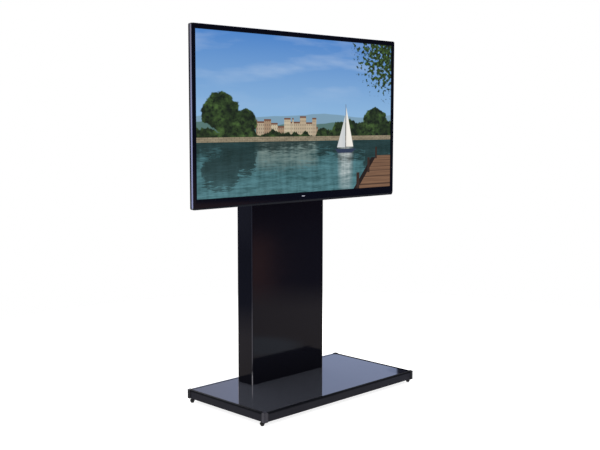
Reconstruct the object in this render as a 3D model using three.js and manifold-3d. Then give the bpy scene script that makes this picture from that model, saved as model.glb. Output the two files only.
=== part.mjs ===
// A floor stand that carries a 55-inch class flat display: a low framed base with an inset gloss
// panel, a clad box column behind the display, a hook-on wall-plate mount and the display itself.
// Millimetres, +Z up, the origin on the floor under the middle of the base, the display facing -Y.

import * as THREE from "three";
import { mergeVertices } from "three/addons/utils/BufferGeometryUtils.js";
import Module from "manifold-3d";

const wasm = await Module();
wasm.setup();

// Clearances that the whole assembly shares
const SEAT_GAP = 0.3;
const RUNNING_GAP = 0.35;
const CUT_OVERRUN = 3;
const MERGE_TOLERANCE = 0.0005;

// Base frame
const BASE_WIDTH = 950;
const BASE_DEPTH = 498;
const FOOT_HEIGHT = 18;
const RAIL_HEIGHT = 38;
const RAIL_THICKNESS = 12.5;
const RAIL_WALL = 1.5;
const RAIL_EDGE_RADIUS = 1.2;
const RAIL_FLANGE_REACH = 18;
const RAIL_FLANGE_THICKNESS = 2.2;
const LEDGE_REACH = 8;
const LEDGE_THICKNESS = 2.2;
const CORNER_RADIUS = 5;
const CORNER_PROUD = 3;
const CORNER_LEG = 16;
const CORNER_RISE = 1.5;
const CORNER_DROP = 1;
const CORNER_BEVEL = 0.6;
const SPIGOT_LENGTH = 34;
const TOP_PANEL_THICKNESS = 6;
const TOP_PANEL_RECESS = 1;
const TOP_PANEL_EDGE_GAP = 0.5;
const TOP_PANEL_BEVEL = 0.6;
const TOP_PANEL_CORNER = 1.5;
const CROSS_WIDTH = 40;
const CROSS_HEIGHT = 19;
const CROSS_WALL = 2;
const CROSS_RADIUS = 3;
const BALLAST_THICKNESS = 6;
const BALLAST_EDGE_GAP = 1;

// Levelling feet
const FOOT_INSET = 22;
const PAD_TOP_RADIUS = 10.5;
const PAD_TIP_RADIUS = 6.5;
const PAD_HEIGHT = 13;
const PAD_EDGE = 1.2;
const PAD_SOCKET_DEPTH = 6;
const STUD_RADIUS = 3;
const STUD_REACH = 21;
const STUD_HEX_RADIUS = 7.2;
const STUD_HOLE_SPARE = 3;

// Column
const COLUMN_WIDTH = 454;
const COLUMN_DEPTH = 97;
const COLUMN_TOP = 1500;
const COLUMN_SETBACK = 93.5;
const COLUMN_REAR_INSET = 50.5;
const NOSE_WIDTH = 10;
const NOSE_RADIUS = 4;
const CLADDING_THICKNESS = 4;
const CLADDING_BEVEL = 0.4;
const CLADDING_CORNER = 1;
const PROFILE_WALL = 2;
const PROFILE_FLANGE = 12;
const SCREW_PORT_RADIUS = 1.3;
const SCREW_PORT_INSET = 4.6;
const REAR_LAND = 14;
const COLUMN_CUTOUT_GAP = 1;
const FOOT_PLATE_SIDE_INSET = 27;
const FOOT_PLATE_END_INSET = 13.5;
const FOOT_PLATE_THICKNESS = 10;
const FOOT_PLATE_CORNER = 6;
const UPRIGHT_INSET = 42;
const UPRIGHT_WIDTH = 40;
const UPRIGHT_DEPTH = 60;
const UPRIGHT_WALL = 3;
const UPRIGHT_RADIUS = 4;
const UPRIGHT_TOP_GAP = 4;
const TIE_HEIGHT = 40;
const TIE_DEPTH = 30;
const TIE_WALL = 2;
const TIE_RADIUS = 3;
const TIE_DROP = 12;
const CAP_THICKNESS = 4;
const CAP_BEVEL = 0.8;
const CAP_RIM_INSET = 7;
const CAP_RIM_WALL = 2;
const CAP_RIM_DEPTH = 8;

// Rear service door
const DOOR_GAP = 1.5;
const DOOR_BOTTOM_GAP = 4;
const DOOR_TOP_GAP = 2;
const DOOR_STIFFENER_INSET = 42;
const DOOR_STIFFENER_DEPTH = 12;
const DOOR_STIFFENER_WALL = 2;
const DOOR_NOTCH_WIDTH = 80;
const DOOR_NOTCH_HEIGHT = 25;
const DOOR_NOTCH_RADIUS = 8;
const DOOR_VENT_COUNT = 8;
const DOOR_VENT_PITCH = 24;
const DOOR_VENT_WIDTH = 5;
const DOOR_VENT_LENGTH = 40;
const DOOR_VENT_INSET = 100;
const HINGE_INSET = 180;
const HINGE_LENGTH = 60;
const HINGE_KNUCKLE_RADIUS = 4;
const HINGE_PIN_RADIUS = 2;
const HINGE_BORE_GAP = 0.08;
const HINGE_LEAF_THICKNESS = 1.5;
const HINGE_FIXED_LEAF_WIDTH = 12;
const HINGE_DOOR_LEAF_WIDTH = 22;
const HINGE_MIDDLE_LENGTH = 22;
const LOCK_INSET = 25.5;
const LOCK_HEIGHT = 700;
const LOCK_BARREL_RADIUS = 9;
const LOCK_FLANGE_RADIUS = 11;
const LOCK_FLANGE_THICKNESS = 2;
const LOCK_TONGUE_REACH = 22;
const LOCK_TONGUE_WIDTH = 12;
const LOCK_TONGUE_THICKNESS = 2.5;
const LOCK_TONGUE_GAP = 1;
const LOCK_SLOT_WIDTH = 2;
const LOCK_SLOT_LENGTH = 8;
const LOCK_SLOT_DEPTH = 4;

// Cable grommet in the column's front panel, behind the display
const GROMMET_WIDTH = 62;
const GROMMET_HEIGHT = 22;
const GROMMET_WALL = 3;
const GROMMET_FLANGE = 7;
const GROMMET_FLANGE_THICKNESS = 2;
const GROMMET_SLEEVE_REACH = 3;

// Hook-on mount
const MOUNT_RAIL_INSET = 5;
const MOUNT_RAIL_SPACING = 300;
const MOUNT_RAIL_THICKNESS = 2.5;
const MOUNT_RAIL_BEND = 2;
const MOUNT_RAIL_BACK = 52;
const MOUNT_RAIL_SHELF = 15;
const MOUNT_RAIL_LIP = 16;
const MOUNT_SLOT_COUNT = 4;
const MOUNT_SLOT_PITCH = 70;
const MOUNT_SLOT_WIDTH = 9;
const MOUNT_SLOT_LENGTH = 34;
const RAIL_BOLT_RADIUS = 4;
const RAIL_BOLT_HEX_RADIUS = 7.5;
const RAIL_BOLT_HEAD = 5.3;
const RAIL_BOLT_WASHER_RADIUS = 9;
const RAIL_BOLT_WASHER = 1.6;
const RAIL_BOLT_REACH = 18;
const VESA_SPACING = 400;
const ARM_WIDTH = 30;
const ARM_END_MARGIN = 30;
const ARM_THICKNESS = 2.5;
const ARM_NOTCH_CLEARANCE = 1;
const ARM_FINGER_WIDTH = 6.5;
const ARM_FINGER_LENGTH = 10;
const ARM_FINGER_CHAMFER = 1.5;
const ARM_HOOK_CAP = 9;
const ARM_HOOK_GUSSET = 14;
const ARM_LOWER_HOOK_PLAY = 1;
const ARM_SLOT_STEPS = 8;
const ARM_SLOT_WIDTH = 7;
const ARM_SLOT_LENGTH = 22;
const VESA_SCREW_RADIUS = 3;
const VESA_SCREW_HEAD_RADIUS = 5.5;
const VESA_SCREW_HEAD = 3.6;
const VESA_WASHER_RADIUS = 8;
const VESA_WASHER = 1.4;
const VESA_SCREW_REACH = 16;

// Display
const DISPLAY_CENTRE_Z = 1243.6;
const SCREEN_WIDTH = 1209.6;
const SCREEN_HEIGHT = 680.4;
const BEZEL_SIDE = 20.9;
const BEZEL_TOP = 21.6;
const BEZEL_BOTTOM = 42.6;
const BEZEL_DEPTH = 10;
const BEZEL_CORNER = 8;
const BEZEL_EDGE_CHAMFER = 1.2;
const BEZEL_CHAMFER_DEPTH = 3.5;
const BEZEL_BOTTOM_CHAMFER = 9;
const BEZEL_LIP = 2.4;
const BEZEL_INNER_CHAMFER = 1.2;
const LCD_BORDER = 6;
const LCD_THICKNESS = 4;
const TRAY_MARGIN = 3;
const TRAY_DEPTH = 7;
const TRAY_WALL = 1.2;
const SHELL_WALL = 2.5;
const SHELL_RIM_INSET = 1;
const SHELL_SIDE_DEPTH = 11;
const SHELL_EDGE_DEPTH = 14.5;
const SHELL_EDGE_INSET = 5;
const SHELL_TOTAL_DEPTH = 58;
const BULGE_WIDTH = 900;
const BULGE_HEIGHT = 600;
const BULGE_DROP = 24;
const BULGE_RADIUS = 36;
const BULGE_START_DEPTH = 31;
const BULGE_SHOULDER_DEPTH = 53;
const BULGE_DRAFT = 20;
const BULGE_SHOULDER_INSET = 8;
const BOSS_RADIUS = 9;
const BOSS_LENGTH = 22;
const VENT_COUNT = 8;
const VENT_PITCH = 24;
const VENT_WIDTH = 5;
const VENT_LENGTH = 44;
const VENT_GROUP_X = 260;
const VENT_HEIGHT_Y = 195;
const SPEAKER_SLOT_COUNT = 6;
const SPEAKER_SLOT_PITCH = 14;
const SPEAKER_SLOT_WIDTH = 4;
const SPEAKER_SLOT_LENGTH = 16;
const SPEAKER_X = 320;
const SPEAKER_Y = 300;
const TERMINAL_X = 325;
const TERMINAL_Y = -90;
const TERMINAL_WIDTH = 130;
const TERMINAL_HEIGHT = 64;
const TERMINAL_DEPTH = 20;
const TERMINAL_RADIUS = 6;
const TERMINAL_PLATE = 2;
const SOCKET_PROUD = 9;
const SOCKET_WALL = 1.5;
const HDMI_SOCKET_WIDTH = 15;
const HDMI_SOCKET_HEIGHT = 5.6;
const USB_SOCKET_WIDTH = 13.2;
const USB_SOCKET_HEIGHT = 5.8;
const LAN_SOCKET_WIDTH = 12;
const LAN_SOCKET_HEIGHT = 10;
const SOCKET_PITCH = 29;
const INLET_X = -325;
const INLET_Y = -90;
const INLET_WIDTH = 28;
const INLET_HEIGHT = 20;
const INLET_DEPTH = 16;
const INLET_FLANGE = 4;
const INLET_FLANGE_THICKNESS = 2;
const INLET_RADIUS = 3;
const INLET_MOUTH_WIDTH = 20;
const INLET_MOUTH_HEIGHT = 10;
const INLET_MOUTH_DEPTH = 13;
const LAMP_WIDTH = 20;
const LAMP_HEIGHT = 3.6;
const LAMP_THICKNESS = 1.6;
const LAMP_RADIUS = 1.4;
const BUTTON_RADIUS = 5;
const BUTTON_PROUD = 3;
const BUTTON_EDGE = 1;
const BUTTON_COLLAR_RADIUS = 6.4;
const BUTTON_COLLAR = 1.5;
const BUTTON_STEM_RADIUS = 2.5;
const BUTTON_STEM = 7;
const POD_WIDTH = 36;
const POD_HEIGHT = 24;
const POD_DEPTH = 19;
const POD_RADIUS = 4;

// Facet counts of the round forms
const ROUND_SEGMENTS = 3;
const CORNER_SEGMENTS = 2;
const FOOT_SEGMENTS = 20;
const PIN_SEGMENTS = 12;
const BEND_SEGMENTS = 4;
const SLOT_SEGMENTS = 1;
const HEX_SIDES = 6;

// Heights and planes that follow from the driving dimensions
const RAIL_TOP_Z = FOOT_HEIGHT + RAIL_HEIGHT;
const BASE_TOP_Z = RAIL_TOP_Z - TOP_PANEL_RECESS;
const LEDGE_TOP = RAIL_HEIGHT - TOP_PANEL_RECESS - TOP_PANEL_THICKNESS - SEAT_GAP;
const CROSS_Z = FOOT_HEIGHT + RAIL_FLANGE_THICKNESS + SEAT_GAP;
const BALLAST_Z = CROSS_Z + CROSS_HEIGHT + SEAT_GAP;
const FOOT_PLATE_Z = BALLAST_Z + BALLAST_THICKNESS + SEAT_GAP;
const UPRIGHT_Z = FOOT_PLATE_Z + FOOT_PLATE_THICKNESS + SEAT_GAP;
const COLUMN_REAR_Y = BASE_DEPTH / 2 - COLUMN_REAR_INSET;
const COLUMN_CENTRE_Y = COLUMN_REAR_Y - COLUMN_DEPTH / 2;
const COLUMN_FRONT_Y = COLUMN_REAR_Y - COLUMN_DEPTH;
const DISPLAY_PLANE_Y = COLUMN_FRONT_Y - COLUMN_SETBACK;
const UPRIGHT_SPACING = COLUMN_WIDTH - 2 * UPRIGHT_INSET - UPRIGHT_WIDTH;
const ARM_LENGTH = VESA_SPACING + 2 * ARM_END_MARGIN;
const FOOT_PLATE_WIDTH = COLUMN_WIDTH - 2 * FOOT_PLATE_SIDE_INSET;
const FOOT_PLATE_DEPTH = COLUMN_DEPTH - 2 * FOOT_PLATE_END_INSET;
const MOUNT_RAIL_LENGTH = COLUMN_WIDTH - 2 * MOUNT_RAIL_INSET;
const CAP_UNDERSIDE_Z = COLUMN_TOP - CAP_THICKNESS;
const CLADDING_Z = FOOT_PLATE_Z;
const CLADDING_HEIGHT = CAP_UNDERSIDE_Z - SEAT_GAP - CLADDING_Z;
const UPRIGHT_TOP_Z = CAP_UNDERSIDE_Z - CAP_RIM_DEPTH - UPRIGHT_TOP_GAP;
const UPRIGHT_FRONT_Y = COLUMN_FRONT_Y + CLADDING_THICKNESS + SEAT_GAP;
const UPRIGHT_CENTRE_Y = UPRIGHT_FRONT_Y + UPRIGHT_DEPTH / 2;
const DISPLAY_WIDTH = SCREEN_WIDTH + 2 * BEZEL_SIDE;
const DISPLAY_HEIGHT = SCREEN_HEIGHT + BEZEL_TOP + BEZEL_BOTTOM;
const SCREEN_OFFSET_Y = (BEZEL_BOTTOM - BEZEL_TOP) / 2;
const DISPLAY_BACK_Y = DISPLAY_PLANE_Y + SHELL_TOTAL_DEPTH;
const LIP_FRONT_Y = COLUMN_FRONT_Y - SEAT_GAP - MOUNT_RAIL_SHELF;
const LIP_REAR_Y = LIP_FRONT_Y + MOUNT_RAIL_THICKNESS;

// Surface finishes
const finish = (color, roughness, metalness) =>
  new THREE.MeshStandardMaterial({ color, roughness, metalness });
const frameBlack = finish(0x26262a, 0.42, 0.3);
const glossBlack = finish(0x0b0b10, 0.06, 0);
const panelGlass = finish(0x14161c, 0.04, 0);
const steelDark = finish(0x2b2c2f, 0.5, 0.7);
const zincSteel = finish(0xa7abaf, 0.35, 0.9);
const rubberBlack = finish(0x1a1a1a, 0.8, 0);
const plasticBlack = finish(0x17171a, 0.55, 0);
const bezelBlack = finish(0x0d0d10, 0.12, 0);
const screenFace = finish(0x3f6f86, 0.15, 0);
const lampLens = finish(0xcfd4dc, 0.25, 0);

// Manifold helpers: a closed geometry becomes a solid, and a solid a geometry again
function solid(geometry) {
  const bare = geometry.clone();
  bare.deleteAttribute("normal");
  bare.deleteAttribute("uv");
  const merged = mergeVertices(bare, MERGE_TOLERANCE);
  const mesh = new wasm.Mesh({
    numProp: 3,
    vertProperties: new Float32Array(merged.attributes.position.array),
    triVerts: new Uint32Array(merged.index.array),
  });
  return new wasm.Manifold(mesh);
}

function geometryOf(body) {
  const mesh = body.getMesh();
  const points = new Float32Array(mesh.numVert * 3);
  for (let i = 0; i < mesh.numVert; i += 1) {
    points.set(mesh.vertProperties.subarray(i * mesh.numProp, i * mesh.numProp + 3), i * 3);
  }
  const geometry = new THREE.BufferGeometry();
  geometry.setAttribute("position", new THREE.BufferAttribute(points, 3));
  geometry.setIndex(new THREE.BufferAttribute(mesh.triVerts, 1));
  return geometry;
}

const union = (first, ...others) => others.reduce((sum, next) => sum.add(next), first);
const minus = (first, ...others) => others.reduce((rest, next) => rest.subtract(next), first);

// A box between two opposite corners
function block([x0, y0, z0], [x1, y1, z1]) {
  const box = new THREE.BoxGeometry(x1 - x0, y1 - y0, z1 - z0);
  return solid(box.translate((x0 + x1) / 2, (y0 + y1) / 2, (z0 + z1) / 2));
}

// A flat shape given a height along Z, from a start height
function prism(shape, start, height, segments = CORNER_SEGMENTS) {
  const options = { depth: height, bevelEnabled: false, curveSegments: segments };
  return solid(new THREE.ExtrudeGeometry(shape, options).translate(0, 0, start));
}

// A sheet of a given thickness with its edges broken by a small bevel
function bevelledSheet(shape, start, thickness, bevel, segments = CORNER_SEGMENTS) {
  const options = {
    depth: thickness - 2 * bevel,
    bevelThickness: bevel,
    bevelSize: bevel,
    bevelOffset: -bevel,
    bevelSegments: 1,
    curveSegments: segments,
  };
  return solid(new THREE.ExtrudeGeometry(shape, options).translate(0, 0, start + bevel));
}

// Turns a solid made in (u, v, w) so that u, v and w run along three of the part's axes
function reframe(body, u, v, w) {
  const basis = new THREE.Matrix4().makeBasis(u, v, w);
  return body.transform(basis.elements);
}

const X_AXIS = new THREE.Vector3(1, 0, 0);
const Y_AXIS = new THREE.Vector3(0, 1, 0);
const Z_AXIS = new THREE.Vector3(0, 0, 1);
const BACK_AXIS = Y_AXIS.clone().negate();

// A (y, z) section run along X, centred
const alongX = (shape, length) => reframe(prism(shape, -length / 2, length), Y_AXIS, Z_AXIS, X_AXIS);

// An (x, z) section run along Y, centred
const alongY = (shape, length) => reframe(prism(shape, -length / 2, length), X_AXIS, Z_AXIS, BACK_AXIS);

// A panel drawn in (x, z) that stands upright, its front face at y = 0
function uprightSheet(shape, thickness, bevel) {
  return reframe(bevelledSheet(shape, -thickness, thickness, bevel), X_AXIS, Z_AXIS, BACK_AXIS);
}

// A round solid about Z, from [radius, z] pairs that start and end on the axis
function turned(profile, segments) {
  const points = profile.map(([radius, z]) => new THREE.Vector2(radius, z));
  const lathe = new THREE.LatheGeometry(points, segments);
  return solid(lathe.rotateX(Math.PI / 2));
}

// A round bar about Z
function bar(radius, z0, z1, segments = PIN_SEGMENTS) {
  return turned([[0, z0], [radius, z0], [radius, z1], [0, z1]], segments);
}

// The same bar laid along Y, from y0 to y1, at a place given in x and z
function barAlongY(radius, y0, y1, x, z, segments = PIN_SEGMENTS) {
  return reframe(bar(radius, -y1, -y0, segments), X_AXIS, Z_AXIS, BACK_AXIS).translate([x, 0, z]);
}

function polygon(points) {
  return new THREE.Shape(points.map(([u, v]) => new THREE.Vector2(u, v)));
}

// A rounded rectangle, drawn into a shape or a hole
function roundedRectangle(width, height, radius, cx = 0, cy = 0, target = new THREE.Shape()) {
  const right = cx + width / 2;
  const left = cx - width / 2;
  const top = cy + height / 2;
  const bottom = cy - height / 2;
  target.moveTo(left + radius, bottom);
  target.lineTo(right - radius, bottom);
  target.absarc(right - radius, bottom + radius, radius, -Math.PI / 2, 0, false);
  target.lineTo(right, top - radius);
  target.absarc(right - radius, top - radius, radius, 0, Math.PI / 2, false);
  target.lineTo(left + radius, top);
  target.absarc(left + radius, top - radius, radius, Math.PI / 2, Math.PI, false);
  target.lineTo(left, bottom + radius);
  target.absarc(left + radius, bottom + radius, radius, Math.PI, 1.5 * Math.PI, false);
  return target;
}

// A slot with round ends, upright when it is taller than it is wide
function slotShape(width, height, cx = 0, cy = 0) {
  return roundedRectangle(width, height, Math.min(width, height) / 2, cx, cy);
}

// A tube section with rounded outer corners and a plain hollow
function tubeSection(width, height, wall, radius) {
  const shape = roundedRectangle(width, height, radius);
  const inner = radius - wall > 0 ? radius - wall : wall / 2;
  shape.holes.push(roundedRectangle(width - 2 * wall, height - 2 * wall, inner, 0, 0, new THREE.Path()));
  return shape;
}

// A folded sheet's section: a centre line of straight runs, thickened, with rounded bends
function foldedSection(path, thickness, innerRadius) {
  const left = [];
  const right = [];
  const vertices = path.map(([u, v]) => new THREE.Vector2(u, v));
  const normalOf = (direction) => new THREE.Vector2(-direction.y, direction.x);
  const addEnd = (point, direction) => {
    const side = normalOf(direction).multiplyScalar(thickness / 2);
    left.push(point.clone().add(side));
    right.push(point.clone().sub(side));
  };
  const directions = vertices.slice(1).map((point, i) => point.clone().sub(vertices[i]).normalize());
  addEnd(vertices[0], directions[0]);
  for (let i = 1; i < vertices.length - 1; i += 1) {
    const [before, after] = [directions[i - 1], directions[i]];
    const turn = Math.atan2(before.cross(after), before.dot(after));
    const radius = innerRadius + thickness / 2;
    const setback = radius * Math.tan(Math.abs(turn) / 2);
    const toCentre = normalOf(before).multiplyScalar(radius * Math.sign(turn));
    const centre = vertices[i].clone().addScaledVector(before, -setback).add(toCentre);
    for (let step = 0; step <= BEND_SEGMENTS; step += 1) {
      const angle = (turn * step) / BEND_SEGMENTS;
      const spoke = toCentre.clone().negate().normalize().rotateAround(new THREE.Vector2(), angle);
      const leftRadius = radius - (Math.sign(turn) * thickness) / 2;
      const rightRadius = radius + (Math.sign(turn) * thickness) / 2;
      left.push(centre.clone().addScaledVector(spoke, leftRadius));
      right.push(centre.clone().addScaledVector(spoke, rightRadius));
    }
  }
  addEnd(vertices.at(-1), directions.at(-1));
  return new THREE.Shape([...right, ...left.reverse()]);
}

// One level of a loft: the points of a rounded rectangle at a height
function ring(width, height, radius, z, cy = 0) {
  const points = roundedRectangle(width, height, radius, 0, cy).extractPoints(ROUND_SEGMENTS).shape;
  return points.map((point) => new THREE.Vector3(point.x, point.y, z));
}

// A solid through rings of equal count, the first and last ring closed with flat ends
function loft(rings) {
  const count = rings[0].length;
  const vertices = rings.flat();
  const last = (rings.length - 1) * count;
  const triangles = [];
  for (let level = 0; level < rings.length - 1; level += 1) {
    for (let i = 0; i < count; i += 1) {
      const next = (i + 1) % count;
      const low = level * count;
      const high = low + count;
      triangles.push(low + i, low + next, high + next, low + i, high + next, high + i);
    }
  }
  for (let i = 1; i < count - 1; i += 1) {
    triangles.push(0, i + 1, i, last, last + i, last + i + 1);
  }
  const geometry = new THREE.BufferGeometry().setFromPoints(vertices);
  geometry.setIndex(triangles);
  return solid(geometry);
}

// Evenly spaced places about zero
const row = (count, pitch) => Array.from({ length: count }, (_, i) => (i - (count - 1) / 2) * pitch);

// Adds a named piece to a group
function piece(group, name, body, material, [x, y, z] = [0, 0, 0], [sx, sy] = [1, 1]) {
  const mesh = new THREE.Mesh(geometryOf(body), material);
  mesh.name = name;
  mesh.position.set(x, y, z);
  mesh.scale.set(sx, sy, 1);
  group.add(mesh);
  return mesh;
}

const SIDES = { left: -1, right: 1 };
const ENDS = { front: -1, rear: 1 };
const stand = new THREE.Group();

// Base frame: extruded rails, drawn as inset from the outer face against height above the underside
function railSection() {
  const inner = RAIL_THICKNESS;
  const edge = RAIL_EDGE_RADIUS;
  const shape = new THREE.Shape();
  shape.moveTo(edge, 0);
  shape.lineTo(inner + RAIL_FLANGE_REACH, 0);
  shape.lineTo(inner + RAIL_FLANGE_REACH, RAIL_FLANGE_THICKNESS);
  shape.lineTo(inner, RAIL_FLANGE_THICKNESS);
  shape.lineTo(inner, LEDGE_TOP - LEDGE_THICKNESS);
  shape.lineTo(inner + LEDGE_REACH, LEDGE_TOP - LEDGE_THICKNESS);
  shape.lineTo(inner + LEDGE_REACH, LEDGE_TOP);
  shape.lineTo(inner, LEDGE_TOP);
  shape.lineTo(inner, RAIL_HEIGHT);
  shape.lineTo(edge, RAIL_HEIGHT);
  shape.absarc(edge, RAIL_HEIGHT - edge, edge, Math.PI / 2, Math.PI, false);
  shape.lineTo(0, edge);
  shape.absarc(edge, edge, edge, Math.PI, 1.5 * Math.PI, false);
  const hollow = [
    [RAIL_WALL, RAIL_WALL],
    [inner - RAIL_WALL, RAIL_WALL],
    [inner - RAIL_WALL, RAIL_HEIGHT - RAIL_WALL],
    [RAIL_WALL, RAIL_HEIGHT - RAIL_WALL],
  ];
  shape.holes.push(new THREE.Path(hollow.map(([u, v]) => new THREE.Vector2(u, v))));
  return shape;
}

// The flange and ledge are cut square at each end, clear of the rail that crosses there
function railEndCuts(length, outerLength) {
  const reach = RAIL_THICKNESS + RAIL_FLANGE_REACH;
  return Object.values(SIDES).map((side) => {
    const end = (side * length) / 2;
    const stop = side * (outerLength / 2 - reach - SEAT_GAP);
    const low = Math.min(end + side * CUT_OVERRUN, stop);
    const high = Math.max(end + side * CUT_OVERRUN, stop);
    return [low, high];
  });
}

function makeRail(outerLength) {
  const length = outerLength - 2 * (CORNER_LEG + SEAT_GAP);
  const cuts = railEndCuts(length, outerLength).map(([low, high]) =>
    block(
      [low, RAIL_THICKNESS, -CUT_OVERRUN],
      [high, RAIL_THICKNESS + RAIL_FLANGE_REACH + CUT_OVERRUN, RAIL_HEIGHT + CUT_OVERRUN],
    ),
  );
  return minus(alongX(railSection(), length), ...cuts);
}

const sideFootHoles = () =>
  Object.values(SIDES).map((side) =>
    bar(STUD_RADIUS + RUNNING_GAP, -CUT_OVERRUN, STUD_REACH).translate([
      side * (BASE_DEPTH / 2 - FOOT_INSET),
      RAIL_THICKNESS / 2,
      0,
    ]),
  );

function addBaseRails(group) {
  const long = makeRail(BASE_WIDTH);
  const short = minus(makeRail(BASE_DEPTH), ...sideFootHoles());
  for (const [name, side] of Object.entries(ENDS)) {
    const place = [0, (side * BASE_DEPTH) / 2, FOOT_HEIGHT];
    const mesh = piece(group, `base_rail_${name}`, long, frameBlack, place);
    mesh.rotation.z = side > 0 ? Math.PI : 0;
  }
  for (const [name, side] of Object.entries(SIDES)) {
    const place = [(side * BASE_WIDTH) / 2, 0, FOOT_HEIGHT];
    const mesh = piece(group, `base_rail_${name}`, short, frameBlack, place);
    mesh.rotation.z = (side * Math.PI) / 2;
  }
}

// Corner casting: an L-shaped cap with a rounded outer corner and a spigot into each rail's hollow
function cornerCasting() {
  const plan = new THREE.Shape();
  plan.moveTo(-CORNER_LEG, CORNER_PROUD);
  plan.lineTo(-CORNER_LEG, -RAIL_THICKNESS);
  plan.lineTo(-RAIL_THICKNESS, -RAIL_THICKNESS);
  plan.lineTo(-RAIL_THICKNESS, -CORNER_LEG);
  plan.lineTo(CORNER_PROUD, -CORNER_LEG);
  plan.lineTo(CORNER_PROUD, CORNER_PROUD - CORNER_RADIUS);
  const centre = CORNER_PROUD - CORNER_RADIUS;
  plan.absarc(centre, centre, CORNER_RADIUS, 0, Math.PI / 2, false);
  const height = RAIL_HEIGHT + CORNER_RISE + CORNER_DROP;
  const cap = bevelledSheet(plan, -CORNER_DROP, height, CORNER_BEVEL, ROUND_SEGMENTS);
  const inset = RAIL_WALL + SEAT_GAP;
  const near = -(CORNER_LEG + SPIGOT_LENGTH);
  const root = -CORNER_LEG + CORNER_PROUD;
  const low = -(RAIL_THICKNESS - inset);
  const spigotAlongX = block([near, low, inset], [root, -inset, RAIL_HEIGHT - inset]);
  const spigotAlongY = block([low, near, inset], [-inset, root, RAIL_HEIGHT - inset]);
  const footHole = bar(STUD_RADIUS + RUNNING_GAP, -CUT_OVERRUN, STUD_REACH + STUD_HOLE_SPARE);
  return minus(
    union(cap, spigotAlongX, spigotAlongY),
    footHole.translate([-RAIL_THICKNESS / 2, -FOOT_INSET, 0]),
  );
}

// Foot: a tapered rubber pad under a threaded stud with a hexagon collar
function footPad() {
  const socket = STUD_RADIUS + RUNNING_GAP;
  const floor = PAD_HEIGHT - PAD_SOCKET_DEPTH;
  return turned(
    [
      [0, 0],
      [PAD_TIP_RADIUS - PAD_EDGE, 0],
      [PAD_TIP_RADIUS, PAD_EDGE],
      [PAD_TOP_RADIUS, PAD_HEIGHT - 2 * PAD_EDGE],
      [PAD_TOP_RADIUS - PAD_EDGE, PAD_HEIGHT],
      [socket, PAD_HEIGHT],
      [socket, floor],
      [0, floor],
    ],
    FOOT_SEGMENTS,
  );
}

function footStud() {
  const collarLow = PAD_HEIGHT + SEAT_GAP;
  const collarHigh = FOOT_HEIGHT - CORNER_DROP - SEAT_GAP;
  const low = PAD_HEIGHT - PAD_SOCKET_DEPTH + SEAT_GAP;
  const hexagon = bar(STUD_HEX_RADIUS, collarLow, collarHigh, HEX_SIDES);
  return union(hexagon, bar(STUD_RADIUS, low, FOOT_HEIGHT + STUD_REACH));
}

function addCorners(group) {
  const casting = cornerCasting();
  const pad = footPad();
  const stud = footStud();
  for (const [endName, end] of Object.entries(ENDS)) {
    for (const [sideName, side] of Object.entries(SIDES)) {
      const tag = `${endName}_${sideName}`;
      const corner = [(side * BASE_WIDTH) / 2, (end * BASE_DEPTH) / 2, FOOT_HEIGHT];
      const foot = [side * (BASE_WIDTH / 2 - RAIL_THICKNESS / 2), end * (BASE_DEPTH / 2 - FOOT_INSET), 0];
      piece(group, `corner_casting_${tag}`, casting, frameBlack, corner, [side, end]);
      piece(group, `foot_pad_${tag}`, pad, rubberBlack, foot);
      piece(group, `foot_stud_${tag}`, stud, steelDark, foot);
    }
  }
}

// Inset top panel with a cut-out that the column passes through
function topPanel() {
  const edge = RAIL_THICKNESS + TOP_PANEL_EDGE_GAP;
  const shape = roundedRectangle(BASE_WIDTH - 2 * edge, BASE_DEPTH - 2 * edge, TOP_PANEL_CORNER);
  const cutWidth = COLUMN_WIDTH + 2 * COLUMN_CUTOUT_GAP;
  const cutDepth = COLUMN_DEPTH + 2 * COLUMN_CUTOUT_GAP;
  const cutRadius = NOSE_RADIUS + COLUMN_CUTOUT_GAP;
  const hole = new THREE.Path();
  roundedRectangle(cutWidth, cutDepth, cutRadius, 0, COLUMN_CENTRE_Y, hole);
  shape.holes.push(hole);
  return bevelledSheet(shape, 0, TOP_PANEL_THICKNESS, TOP_PANEL_BEVEL);
}

function ballastPlate() {
  const edge = RAIL_THICKNESS + BALLAST_EDGE_GAP;
  const width = BASE_WIDTH - 2 * edge;
  const depth = BASE_DEPTH - 2 * edge;
  const clear = SPIGOT_LENGTH / 2;
  const shape = polygon([
    [-width / 2 + clear, -depth / 2],
    [width / 2 - clear, -depth / 2],
    [width / 2, -depth / 2 + clear],
    [width / 2, depth / 2 - clear],
    [width / 2 - clear, depth / 2],
    [-width / 2 + clear, depth / 2],
    [-width / 2, depth / 2 - clear],
    [-width / 2, -depth / 2 + clear],
  ]);
  return prism(shape, 0, BALLAST_THICKNESS);
}

function addBase(group) {
  addBaseRails(group);
  addCorners(group);
  piece(group, "base_top_panel", topPanel(), panelGlass, [0, 0, BASE_TOP_Z - TOP_PANEL_THICKNESS]);
  piece(group, "base_ballast_plate", ballastPlate(), steelDark, [0, 0, BALLAST_Z]);
  const length = BASE_DEPTH - 2 * (RAIL_THICKNESS + SEAT_GAP);
  const member = alongY(tubeSection(CROSS_WIDTH, CROSS_HEIGHT, CROSS_WALL, CROSS_RADIUS), length);
  for (const [name, side] of Object.entries(SIDES)) {
    const place = [(side * UPRIGHT_SPACING) / 2, 0, CROSS_Z + CROSS_HEIGHT / 2];
    piece(group, `base_cross_member_${name}`, member, steelDark, place);
  }
}

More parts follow.
